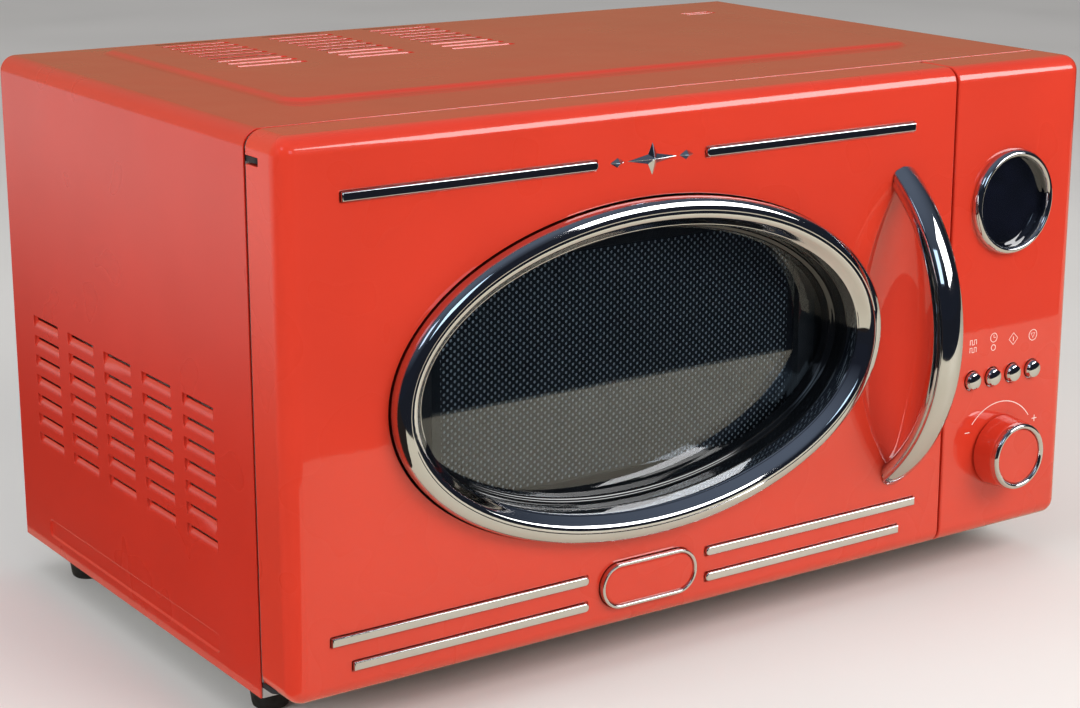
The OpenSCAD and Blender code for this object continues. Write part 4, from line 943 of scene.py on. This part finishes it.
class OVEN_OT_window(bpy.types.Operator):
    """Draws the chrome oval, the black funnel behind it and the perforated screen"""

    bl_idname = "oven.window"
    bl_label = "Window"

    def execute(self, context):
        shape = context.scene.oven_shape
        middle = (WINDOW.x, FACE_Y, WINDOW.z)
        top = min((FACE_Y - BEZEL_LOW.y) / MM, 8.0)
        wall = [(-1.5, -0.9), (-1.5, top - 4.6), (-1.8, top - 3.1), (-2.6, top - 1.7)]
        crown = [(-3.8, top - 0.75), (-5.4, top - 0.2), (-7.2, top), (-7.6, top - 0.15), (-8.2, top - 0.05),
                 (-9.6, top - 0.2)]
        slope = [(-10.6, top - 0.7), (-11.2, top - 1.3), (-12.3, top - 2.4), (-13.4, top - 3.6),
                 (-14.3, top - 4.5)]
        lip = [(-14.6, top - 4.6), (-15.0, top - 5.0), (-15.3, top - 6.0), (-15.35, -3.9)]
        underside = [(-3.2, -3.9), (-3.2, -0.9), (-1.5, -0.9)]
        profile = [(out * MM, up * MM) for out, up in wall + crown + slope + lip + underside]
        bezel = turned("window_oval", oval_rings(profile, WINDOW_A, WINDOW_B), middle, shape.sides,
                       hollow=True)
        finished(bezel, "door", finish_named("plated_chrome"), ["window_bezel"], angle=24)
        deep = (GLASS_LOW.y - FACE_Y) / MM
        steps = [(-3.2, -4.0), (-15.6, -4.0), (-15.9, -5.0), (-16.3, -11.4), (-16.7, -12.1), (-17.6, -12.3),
                 (-18.3, -12.6),
                 (-18.9, -13.6), (-19.3, 0.8 - deep), (-19.6, -deep), (-3.2, -deep), (-3.2, -4.0)]
        profile = [(out * MM, up * MM) for out, up in steps]
        funnel = turned("window_funnel", oval_rings(profile, WINDOW_A, WINDOW_B), middle, shape.sides,
                        hollow=True)
        finished(funnel, "door", finish_named("black_gloss"), ["window_tunnel"],
                 soft=0.4 * MM, angle=40)
        self.screen(shape)
        return {"FINISHED"}

    def screen(self, shape):
        """Punches the screen: one cell with its hole, repeated in staggered rows inside a plain border."""
        pitch_x, pitch_z, thick = 3.8 * MM, 1.7 * MM, 0.5 * MM
        across, rows = 52, 31
        front = SCREEN_LOW.y
        wide, tall = across * pitch_x, rows * 2 * pitch_z
        left, low = WINDOW.x - wide / 2, WINDOW.z - tall / 2
        centre = (left + pitch_x / 2, front, low + pitch_z / 2)
        cell = fresh("screen", "plane", centre, (pitch_x / 2, pitch_z / 2, 1), (math.pi / 2, 0, 0))
        pick(cell, "FACE", lambda point, normal: True)
        bpy.ops.mesh.inset(thickness=0.1 * MM)
        bpy.ops.transform.resize(value=(shape.hole / (pitch_x - 0.2 * MM), 1,
                                        shape.hole / (pitch_z - 0.2 * MM)),
                                 center_override=centre)
        bpy.ops.mesh.bevel(offset=shape.hole * 0.29, segments=1, affect="VERTICES", clamp_overlap=False)
        leave()
        pick(cell, "FACE", lambda point,
             normal: (point - Vector(centre)).length < 0.05 * MM and normal.y < -0.9)
        bpy.ops.mesh.extrude_region_move(TRANSFORM_OT_translate={"value": (0, thick, 0)})
        bpy.ops.mesh.delete(type="FACE")
        leave()
        row(cell, across, (pitch_x, 0, 0))
        row(cell, rows, (0, 0, 2 * pitch_z))
        only(cell)
        bpy.ops.object.duplicate()
        other = bpy.context.object
        other.location = (pitch_x / 2, 0, pitch_z)
        settle_place(other, "screen_b")
        border = self.border(left, low, wide, tall, front, pitch_x)
        film = block("film_blank", (left, SCREEN_HIGH.y + 0.08 * MM, low),
                     (left + wide + pitch_x / 2, SCREEN_HIGH.y + 0.38 * MM, low + tall))
        finished(film, "door", finish_named("milky_film"), soft=0.1 * MM)
        film.name = "screen_film"
        screen = joined("perforated_screen", [cell, other, border])
        screen.data.materials.clear()
        screen.data.materials.append(finish_named("screen_paint"))
        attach(screen, "door")
        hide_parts("mesh_screen")

    def border(self, left, low, wide, tall, front, pitch_x):
        """The plain sheet round the holes."""
        edge = block("border", (SCREEN_LOW.x, front + 0.02 * MM, SCREEN_LOW.z),
                     (SCREEN_HIGH.x, front + 0.4 * MM, SCREEN_HIGH.z))
        carve(edge, block("border_hole", (left + pitch_x / 2, front - 5 * MM, low),
                          (left + wide, front + 5 * MM, low + tall)))
        return edge


class OVEN_OT_handle(bpy.types.Operator):
    """Spins the handle's D-shaped bar along its arc and cuts its feet to the door's face"""

    bl_idname = "oven.handle"
    bl_label = "Handle"

    def execute(self, context):
        out = FACE_Y - HANDLE_LOW.y
        half = (HANDLE_HIGH.z - HANDLE_LOW.z) / 2
        middle = (HANDLE_LOW + HANDLE_HIGH) / 2
        radius = (half * half + out * out) / (2 * out)
        axis_y = HANDLE_LOW.y + radius
        thick, wide = 10.5 * MM, HANDLE_HIGH.x - HANDLE_LOW.x
        sweep = math.asin(half / radius) + 0.10
        bar = fresh("handle", "circle", (middle.x, HANDLE_LOW.y + thick * 0.62, middle.z),
                    (wide / 2, thick * 0.62, 1), vertices=48, radius=1)
        pick(bar, "VERT", lambda co: co.y > HANDLE_LOW.y + thick * 0.62 + 0.01 * MM)
        bpy.ops.transform.resize(value=(1, 0.6129, 1), center_override=(middle.x,
                                                                        HANDLE_LOW.y + thick * 0.62,
                                                                        middle.z))
        leave()
        pick(bar, "VERT", lambda co: co.y < HANDLE_LOW.y + thick * 0.3)
        bpy.ops.transform.resize(value=(1.13, 1, 1), center_override=middle)
        leave()
        only(bar)
        bpy.ops.object.mode_set(mode="EDIT")
        bpy.ops.mesh.select_all(action="SELECT")
        bpy.ops.mesh.spin(steps=1, angle=sweep, center=(middle.x, axis_y, middle.z), axis=(1, 0, 0))
        bpy.ops.mesh.select_all(action="INVERT")
        bpy.ops.mesh.delete(type="VERT")
        bpy.ops.mesh.select_all(action="SELECT")
        bpy.ops.mesh.spin(steps=72, angle=-2 * sweep, center=(middle.x, axis_y, middle.z), axis=(1, 0, 0))
        bpy.ops.mesh.select_all(action="SELECT")
        bpy.ops.mesh.bisect(plane_co=(0, FACE_Y, 0), plane_no=(0, 1, 0), clear_outer=True, use_fill=True)
        leave()
        tidy_normals(bar)
        finished(bar, "door", finish_named("plated_chrome"), ["door_handle"], soft=0.7 * MM,
                 segments=3,
                 angle=40)
        return {"FINISHED"}


class OVEN_OT_trim(bpy.types.Operator):
    """Lays the chrome strips, the pill badge and the star on the door"""

    bl_idname = "oven.trim"
    bl_label = "Door trim"

    def execute(self, context):
        chrome = finish_named("plated_chrome")
        strips = []
        for low_x, high_x, z, side in strip_places():
            strip = block("strip", (low_x, STRIPS_LOW.y, z - 2.1 * MM),
                          (high_x, STRIPS_HIGH.y - 0.05 * MM, z + 2.1 * MM))
            inner = high_x if side < 0 else low_x
            round_edges(strip, lambda a, b: runs_along(a, b, 1) and abs(a.x - inner) < 0.1 * MM, 2.0 * MM,
                        6)
            round_edges(strip, lambda a, b: max(a.y, b.y) < STRIPS_LOW.y + 0.01 * MM, 0.7 * MM, 3)
            strips.append(strip)
        finished(joined("chrome_strips", strips), "door", chrome, ["trim_strips"], angle=35)
        rim = bar_shape("badge_rim", BADGE_LOW, (BADGE_HIGH.x, BADGE_HIGH.y - 0.05 * MM, BADGE_HIGH.z),
                        10.7 * MM, 14)
        pick(rim, "FACE", lambda centre, normal: normal.y < -0.9)
        bpy.ops.mesh.inset(thickness=1.5 * MM)
        bpy.ops.mesh.inset(thickness=0.25 * MM, depth=-1.5 * MM)
        leave()
        finished(rim, "door", chrome, ["badge"], soft=0.5 * MM, segments=3, angle=40)
        plate = bar_shape("badge_plate", (BADGE_LOW.x + 1.8 * MM, BADGE_LOW.y + 1.05 * MM,
                                          BADGE_LOW.z + 1.8 * MM),
                          (BADGE_HIGH.x - 1.8 * MM, BADGE_LOW.y + 1.9 * MM, BADGE_HIGH.z - 1.8 * MM),
                          8.9 * MM, 14)
        pick(plate, "FACE", lambda centre, normal: normal.y < -0.9)
        bpy.ops.mesh.inset(thickness=1.6 * MM, depth=0.35 * MM)
        leave()
        finished(plate, "door", finish_named("gloss_moulding"), soft=0.3 * MM)
        self.star(chrome)
        return {"FINISHED"}

    def star(self, chrome):
        """A plain four-pointed star with ridges, between two small diamonds."""
        middle = (STAR_LOW + STAR_HIGH) / 2
        half_l = (STAR_HIGH.x - STAR_LOW.x) / 2
        half_h = (STAR_HIGH.z - STAR_LOW.z) / 2
        tall = FACE_Y - STAR_LOW.y
        pieces = []
        for x, wide, high, points in ((0, half_l * 0.62, half_h, 8), (-1, half_l * 0.18, half_h * 0.3, 4),
                                      (1, half_l * 0.18, half_h * 0.3, 4)):
            star = fresh("star", "cone", turn=(math.pi / 2, 0, 0), vertices=points, radius1=1, radius2=0,
                         depth=tall)
            if points == 8:
                pick(star, "VERT", lambda co: abs(co.x) > 0.1 and abs(co.z) > 0.1)
                bpy.ops.transform.resize(value=(0.24, 1, 0.42), center_override=(0, 0, 0))
                leave()
            star.scale = (wide, 1, high)
            star.location = (middle.x + x * half_l * 0.82, FACE_Y - tall / 2, middle.z)
            pieces.append(settle_place(star, "star"))
        finished(joined("star_ornament", pieces), "door", chrome, ["door_ornament"],
                 soft=0.15 * MM,
                 angle=20)


# ---------------------------------------------------------------- the controls

class OVEN_OT_panel(bpy.types.Operator):
    """Moulds the control panel with its holes and prints its signs"""

    bl_idname = "oven.control_panel"
    bl_label = "Control panel"

    def execute(self, context):
        shape = context.scene.oven_shape
        panel = front_box("control_front", PANEL_LOW, (PANEL_HIGH.x, DOOR_HIGH.y, PANEL_HIGH.z),
                          shape.front_round,
                          PANEL_LOW.x)
        pick(panel, "FACE", lambda centre, normal: normal.y > 0.99)
        bpy.ops.mesh.delete(type="FACE")
        leave()
        apply_modifier(panel, "SOLIDIFY", thickness=WALL, offset=-1, use_even_offset=True)
        ring = (RING_LOW + RING_HIGH) / 2
        knob = (KNOB_LOW + KNOB_HIGH) / 2
        holes = [(ring.x, ring.z, 23.7 * MM, 72), (knob.x, knob.z, 4 * MM, 32)]
        for low, high in BUTTON_BOXES:
            holes.append(((low.x + high.x) / 2, (low.z + high.z) / 2, 5.15 * MM, 40))
        for x, z, radius, sides in holes:
            drill = turned("drill", [(radius, radius, -8 * MM), (radius, radius, 8 * MM)], (x, FACE_Y, z),
                           sides)
            carve(panel, drill)
        finished(panel, "cabinet", finish_named("gloss_moulding"), ["control_panel"],
                 shape.soft_edge)
        self.signs(knob)
        return {"FINISHED"}

    def signs(self, knob):
        """The printed arc, minus and plus round the knob, and a plain sign over each button."""
        line = 0.5 * MM
        ribbons = [drawn_line("arc", curve_points((knob.x, knob.z), 25.5 * MM, 140, 36, 48), line)]
        minus, plus, level = knob.x - 22.7 * MM, knob.x + 25.2 * MM, knob.z + 12.5 * MM
        ribbons.append(drawn_line("minus", [(minus - 1.6 * MM, level), (minus + 1.6 * MM, level)], line))
        ribbons.append(drawn_line("plus_a", [(plus - 1.7 * MM, level), (plus + 1.7 * MM, level)], line))
        ribbons.append(drawn_line("plus_b", [(plus, level - 1.7 * MM), (plus, level + 1.7 * MM)], line))
        places = [((low.x + high.x) / 2, (low.z + high.z) / 2 + 17.8 * MM) for low, high in BUTTON_BOXES]
        wave_x, z = places[0]
        for offset in (-1.9, 2.1):
            wave = []
            for step in range(8):
                swing = 1.2 if step % 4 in (1, 2) else -1.2
                wave.append((wave_x + (step // 2 * 1.45 - 2.4) * MM, z + (offset + swing) * MM))
            ribbons.append(drawn_line("wave", wave, 0.42 * MM))
        clock_x, z = places[1]
        ribbons.append(drawn_line("clock", curve_points((clock_x, z + 2.6 * MM), 2.3 * MM, 0, 345, 24),
                                  0.42 * MM, True))
        ribbons.append(drawn_line("hands", [(clock_x, z + 4.2 * MM), (clock_x, z + 2.6 * MM),
                                            (clock_x + 1.2 * MM, z + 2.6 * MM)], 0.38 * MM))
        ribbons.append(drawn_line("drop", curve_points((clock_x, z - 2.6 * MM), 1.5 * MM, 0, 330, 12),
                                  0.42 * MM, True))
        start_x, z = places[2]
        ribbons.append(drawn_line("diamond", curve_points((start_x, z), 3.1 * MM, 0, 270, 3), 0.42 * MM,
                                  True))
        ribbons.append(drawn_line("bar", [(start_x, z - 1.1 * MM), (start_x, z + 1.1 * MM)], 0.42 * MM))
        stop_x, z = places[3]
        ribbons.append(drawn_line("stop_ring", curve_points((stop_x, z), 2.8 * MM, 0, 345, 24), 0.42 * MM,
                                  True))
        ribbons.append(drawn_line("stop", curve_points((stop_x, z + 0.2 * MM), 1.6 * MM, 30, 270, 2),
                                  0.42 * MM, True))
        finished(joined("printed_signs", ribbons), "cabinet", finish_named("printed_ink"))


class OVEN_OT_display(bpy.types.Operator):
    """Turns the display's chrome ring and its smoked lens"""

    bl_idname = "oven.display"
    bl_label = "Display"

    def execute(self, context):
        middle = (RING_LOW + RING_HIGH) / 2
        centre = (middle.x, FACE_Y, middle.z)
        radius = (RING_HIGH.x - RING_LOW.x) / 2
        tall = (FACE_Y - RING_LOW.y) / MM
        profile = [(0, 0.02), (0, 1.4), (-0.3, 2.6), (-0.9, tall - 0.9), (-1.7, tall - 0.25), (-2.4, tall),
                   (-3.1, tall - 0.3),
                   (-3.8, tall - 1.2), (-4.15, tall - 2.4), (-4.2, 0.4), (-4.2, -0.95), (-3.15, -0.95),
                   (-3.15, 0.02), (0, 0.02)]
        rings = [(radius + out * MM, radius + out * MM, up * MM) for out, up in profile]
        ring = turned("display_rim", rings, centre, 96, hollow=True)
        finished(ring, "cabinet", finish_named("plated_chrome"), ["display_ring"], angle=45)
        lens_r = (LENS_HIGH.x - LENS_LOW.x) / 2
        profile = [(0, -3.5), (0, -1.0), (-1.0, -0.75), (-6, -0.45), (-12, -0.28), (-18, -0.2),
                   (-22.6, -0.18)]
        rings = [(lens_r + out * MM, lens_r + out * MM, up * MM) for out, up in profile]
        lens = turned("display_window", rings, centre, 96)
        finished(lens, "cabinet", finish_named("dark_lens"), ["display_lens"], angle=30)
        return {"FINISHED"}


class OVEN_OT_buttons(bpy.types.Operator):
    """Turns the four domed chrome buttons"""

    bl_idname = "oven.buttons"
    bl_label = "Buttons"

    def execute(self, context):
        for number, (low, high) in enumerate(BUTTON_BOXES, 1):
            x, z = (low.x + high.x) / 2, (low.z + high.z) / 2
            radius, out = 4.8, (FACE_Y - low.y) / MM
            profile = [(2, -(high.y - FACE_Y) / MM), (2, -3.9), (5.8, -3.9), (5.8, -2.75), (radius, -2.75),
                       (radius, 1.2),
                       (radius - 0.1, 1.6), (radius - 0.45, 2.0)]
            profile += [(reach, 2.0 + (out - 2.0) * math.sqrt(1 - (reach / 4.5) ** 2))
                        for reach in (4.0, 3.4, 2.7, 1.9, 1.1, 0.3)]
            rings = [(wide * MM, wide * MM, up * MM) for wide, up in profile]
            cap = turned("button_cap_%d" % number, rings, (x, FACE_Y, z), 48)
            finished(cap, "button_%d" % number, finish_named("plated_chrome"),
                     ["button_%d" % number],
                     angle=35)
        return {"FINISHED"}


class OVEN_OT_knob(bpy.types.Operator):
    """Turns the red knob and its chrome rim"""

    bl_idname = "oven.knob"
    bl_label = "Knob"

    def execute(self, context):
        middle = (KNOB_LOW + KNOB_HIGH) / 2
        centre = (middle.x, FACE_Y, middle.z)
        base = (KNOB_HIGH.x - KNOB_LOW.x) / 2 / MM
        tall = (FACE_Y - KNOB_RING_LOW.y) / MM
        front = (KNOB_RING_HIGH.x - KNOB_RING_LOW.x) / 2 / MM
        profile = [(9, 5.2), (9, 0.6), (base - 1.2, 0.5), (base - 0.3, 0.8), (base, 1.6),
                   (front + 0.35, tall - 4.2),
                   (front - 0.1, tall - 3.6), (front - 2.9, tall - 3.4), (front - 3.05, tall - 1.6),
                   (front - 3.4, tall - 1.3),
                   (front - 8, tall - 1.45), (4, tall - 1.55), (0.5, tall - 1.55)]
        rings = [(wide * MM, wide * MM, up * MM) for wide, up in profile]
        knob = turned("knob", rings, centre, 96)
        finished(knob, "knob", finish_named("gloss_moulding"), ["knob_body"],
                 soft=0.25 * MM, angle=35)
        profile = [(front, tall - 3.5), (front, tall - 1.6), (front - 0.25, tall - 0.7),
                   (front - 0.9, tall - 0.1),
                   (front - 1.5, tall), (front - 2.1, tall - 0.12), (front - 2.7, tall - 0.6),
                   (front - 2.98, tall - 1.4),
                   (front - 3.0, tall - 3.5), (front, tall - 3.5)]
        rings = [(wide * MM, wide * MM, up * MM) for wide, up in profile]
        rim = turned("knob_rim", rings, centre, 96, hollow=True)
        finished(rim, "knob", finish_named("plated_chrome"), ["knob_ring"], angle=45)
        return {"FINISHED"}


# ---------------------------------------------------------------- what the solids already show

NODE_FINISHES = {
    "base_plate": "zinc_sheet", "front_frame": "oven_enamel", "cabinet_screws": "screw_steel",
    "oven_cavity": "oven_enamel", "waveguide_cover": "mica_sheet", "waveguide": "zinc_sheet",
    "magnetron": "bright_metal", "transformer_core": "core_iron", "transformer_coils": "enamelled_copper",
    "capacitor": "bright_metal", "capacitor_clamp": "zinc_sheet", "high_voltage_diode": "black_plastic",
    "fuse_board": "circuit_board", "cord_gland": "black_plastic", "thermal_cutout": "bright_metal",
    "oven_lamp": "lamp_glass", "fan_shroud": "black_plastic", "fan_motor": "bright_metal",
    "fan_blade": "black_plastic", "turntable_motor": "bright_metal", "turntable_shaft": "white_plastic",
    "drive_coupler": "white_plastic", "glass_tray": "clear_glass", "roller_ring": "white_plastic",
    "roller_1": "white_plastic", "roller_2": "white_plastic", "roller_3": "white_plastic",
    "hinge_brackets": "dark_powder", "interlock_housing": "white_plastic", "door_switches": "black_plastic",
    "control_board": "circuit_board", "display_module": "black_plastic", "encoder": "bright_metal",
    "encoder_shaft": "bright_metal", "window_glass": "window_glass", "door_frame": "dark_powder",
    "inner_trim": "black_plastic", "handle_screws": "screw_steel", "latch_lever": "white_plastic",
    "latch_spring": "bright_metal",
}


class OVEN_OT_inside(bpy.types.Operator):
    """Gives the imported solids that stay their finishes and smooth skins"""

    bl_idname = "oven.inside"
    bl_label = "Inside and frame"

    def execute(self, context):
        for name, finish in NODE_FINISHES.items():
            solid = NODES[name]
            solid.data.materials.clear()
            solid.data.materials.append(finish_named(finish))
            solid.data.polygons.foreach_set("use_smooth", [True] * len(solid.data.polygons))
            merge = solid.modifiers.new("merge", "WELD")
            merge.merge_threshold = 0.004 * MM
            split = solid.modifiers.new("crisp_edges", "EDGE_SPLIT")
            split.split_angle = math.radians(32)
        return {"FINISHED"}


# ---------------------------------------------------------------- the studio

def glow(name, colour, strength):
    """A surface that only gives light."""
    material, tree, _, output = blank(name)
    light = add(tree, "ShaderNodeEmission", {"Color": colour, "Strength": strength})
    return close(material, tree, output, light.outputs["Emission"])


def only_mirrored(card):
    """Leaves a stage card out of everything but reflections."""
    card.visible_camera = False
    card.visible_diffuse = False
    card.visible_shadow = False
    card.visible_transmission = False
    card.visible_volume_scatter = False


def card(name, middle, size, aim, colour, strength):
    """A glowing card that faces a point and shows only in reflections."""
    turn = (Vector(aim) - Vector(middle)).to_track_quat("Z", "Y").to_euler()
    plane = fresh(name, "plane", middle, (size[0] / 2, size[1] / 2, 1), turn)
    plane.data.materials.append(glow(name + "_glow", colour, strength))
    only_mirrored(plane)


def lamp(name, middle, size, aim, power, colour):
    """A soft lamp that doesn't show in reflections."""
    bpy.ops.object.select_all(action="DESELECT")
    turn = (Vector(aim) - Vector(middle)).to_track_quat("-Z", "Y").to_euler()
    bpy.ops.object.light_add(type="AREA", location=middle, rotation=turn)
    light = bpy.context.object
    light.name = name
    light.data.shape = "RECTANGLE"
    light.data.size, light.data.size_y = size
    light.data.energy = power
    light.data.color = colour
    light.visible_glossy = False


class OVEN_OT_studio(bpy.types.Operator):
    """Sets up the pale floor, the soft lamps, what the gloss mirrors and the camera"""

    bl_idname = "oven.studio"
    bl_label = "Studio"

    def execute(self, context):
        scene = context.scene
        studio = scene.oven_studio
        self.floor()
        self.world(scene)
        self.room(studio)
        lamp("key_lamp", (0.55, -1.35, 1.05), (1.1, 0.9), (0, 0, 0.12), studio.key, (1.0, 0.98, 0.95))
        lamp("fill_lamp", (-0.2, 0.1, 1.7), (1.6, 1.6), (0, 0, 0.1), studio.fill, (1.0, 1.0, 1.0))
        lamp("side_lamp", (-1.6, -0.2, 0.8), (0.9, 0.9), (0, 0, 0.1), studio.side, (0.95, 0.97, 1.0))
        self.camera(scene, studio)
        scene.view_settings.view_transform = "Standard"
        return {"FINISHED"}

    def floor(self):
        """A wide pale floor with the faint unevenness of painted board."""
        floor = fresh("floor", "plane", size=(12, 12, 1))
        floor.data.materials.append(speckled("pale_painted_board", "E9E7E3", "EDEBE8", 0.4, 0.0, 0.6, 0.75,
                                             2 * MM, 0.01 * MM))
        floor.visible_glossy = False

    def world(self, scene):
        """A pale, even sky."""
        world = bpy.data.worlds.new("pale_sky")
        scene.world = world
        world.use_nodes = True
        sky = world.node_tree.nodes["Background"]
        sky.inputs["Color"].default_value = linear("F1F2F4")
        sky.inputs["Strength"].default_value = 0.5

    def room(self, studio):
        """What the gloss and the chrome mirror: a dim room, a lit table and soft boxes."""
        room = fresh("room", "uv_sphere", size=(6, 6, 6), segments=48, ring_count=24)
        material, tree, place, output = blank("room_glow")
        axes = add(tree, "ShaderNodeSeparateXYZ", {"Vector": place})
        depth = add(tree, "ShaderNodeMapRange", {"Value": axes.outputs["Y"], "From Min": 0.0,
                                                 "From Max": 3.5})
        left = add(tree, "ShaderNodeMapRange", {"Value": axes.outputs["X"], "From Min": 2.0,
                                                "From Max": -3.0})
        rear = shades(tree, left.outputs["Result"], linear("997A5E"), linear("C0A48C"))
        wall = add(tree, "ShaderNodeMix", {0: depth.outputs["Result"], 6: linear("20242E"), 7: rear},
                   data_type="RGBA")
        rise = add(tree, "ShaderNodeMapRange", {"Value": axes.outputs["Z"], "From Min": 2.0,
                                                "From Max": 5.5})
        sky = shades(tree, rise.outputs["Result"], (0, 0, 0, 1), linear("5C6675"))
        both = add(tree, "ShaderNodeMix", {0: 1.0, 6: wall.outputs[2], 7: sky}, data_type="RGBA",
                   blend_type="ADD")
        light = add(tree, "ShaderNodeEmission", {"Color": both.outputs[2], "Strength": 1.0})
        room.data.materials.append(close(material, tree, output, light.outputs["Emission"]))
        only_mirrored(room)
        edge, back = studio.table_front, 0.44
        card("dark_front", (0, edge - 2.5, 0.0006), (9, 5), (0, edge - 2.5, 5), linear("20232B"), 1.0)
        # beside and behind the oven the ground goes from dark to pale, with no edge to mirror; the dark
        # part is painted shadow, standing for the oven's own shade on the ground
        ground = fresh("ground", "plane", (0, 0, 0.0002), (5, 5, 1))
        material, tree, place, output = blank("ground_glow")
        axes = add(tree, "ShaderNodeSeparateXYZ", {"Vector": place})
        left = add(tree, "ShaderNodeMapRange", {"Value": axes.outputs["X"], "From Min": -0.3,
                                                "From Max": -0.8},
                   interpolation_type="SMOOTHSTEP")
        rear = add(tree, "ShaderNodeMapRange", {"Value": axes.outputs["Y"], "From Min": 0.0,
                                                "From Max": 0.6},
                   interpolation_type="SMOOTHSTEP")
        both = add(tree, "ShaderNodeMath", {0: left.outputs["Result"], 1: rear.outputs["Result"]},
                   operation="MULTIPLY")
        # painted shadow: the ground glows dark near the oven, where its shadow falls, and pale farther out
        shade = shades(tree, both.outputs["Value"], linear("2A2422"), linear("D8D0CC"))
        light = add(tree, "ShaderNodeEmission", {"Color": shade, "Strength": 1.0})
        ground.data.materials.append(close(material, tree, output, light.outputs["Emission"]))
        only_mirrored(ground)
        table = fresh("table", "plane", (0.675, (edge + back) / 2, 0.0004), (0.925, (back - edge) / 2, 1))
        table.data.materials.append(speckled("beige_table", "CFC8B0", "D6CFB8", 0.2, 0.0, 0.6, 0.75, 2 * MM,
                                             0.01 * MM))
        only_mirrored(table)
        card("soft_box_front", (1.1, -1.35, 0.95), (0.95, 0.8), (0, -0.1, 0.15), (1, 1, 1, 1), 8.0)
        card("soft_box_middle", (-0.15, -1.6, 0.86), (0.5, 0.5), (0, -0.1, 0.15), linear("B4CDE4"), 2.6)
        card("soft_box_left", (-1.3, -0.9, 1.5), (0.5, 0.5), (0, 0, 0.15), linear("C9DAF2"), 2.0)

    def camera(self, scene, studio):
        """A long lens, a little to the left and above."""
        bpy.ops.object.select_all(action="DESELECT")
        bpy.ops.object.camera_add(location=studio.camera_place, rotation=studio.camera_turn)
        camera = bpy.context.object
        camera.name = "studio_camera"
        camera.data.sensor_width = 36
        camera.data.lens = studio.lens
        camera.data.shift_x = -0.0594
        camera.data.shift_y = -0.0171
        camera.data.clip_start = 0.01
        camera.data.dof.use_dof = False
        scene.camera = camera


class OVEN_PT_workshop(bpy.types.Panel):
    """Lists the oven's pieces in the order they are made"""

    bl_label = "Microwave oven"
    bl_idname = "OVEN_PT_workshop"
    bl_space_type = "VIEW_3D"
    bl_region_type = "UI"
    bl_category = "Oven"

    def draw(self, context):
        layout = self.layout
        for operator in OPERATORS:
            layout.operator(operator.bl_idname)
        for group in (context.scene.oven_shape, context.scene.oven_finish, context.scene.oven_studio):
            box = layout.box()
            for name in group.__annotations__:
                box.prop(group, name)


GROUPS = (OvenShape, OvenFinish, OvenStudio)
OPERATORS = (OVEN_OT_inside, OVEN_OT_cover, OVEN_OT_back, OVEN_OT_feet, OVEN_OT_door, OVEN_OT_window,
             OVEN_OT_handle,
             OVEN_OT_trim, OVEN_OT_panel, OVEN_OT_display, OVEN_OT_buttons, OVEN_OT_knob, OVEN_OT_studio)


def register():
    for kind in (*GROUPS, *OPERATORS, OVEN_PT_workshop):
        bpy.utils.register_class(kind)
    bpy.types.Scene.oven_shape = PointerProperty(type=OvenShape)
    bpy.types.Scene.oven_finish = PointerProperty(type=OvenFinish)
    bpy.types.Scene.oven_studio = PointerProperty(type=OvenStudio)


def unregister():
    del bpy.types.Scene.oven_studio
    del bpy.types.Scene.oven_finish
    del bpy.types.Scene.oven_shape
    for kind in reversed((*GROUPS, *OPERATORS, OVEN_PT_workshop)):
        bpy.utils.unregister_class(kind)


def main():
    """Makes every piece, then the studio."""
    register()
    for operator in OPERATORS:
        getattr(bpy.ops.oven, operator.bl_idname.split(".")[1])()


if __name__ == "__main__":
    main()
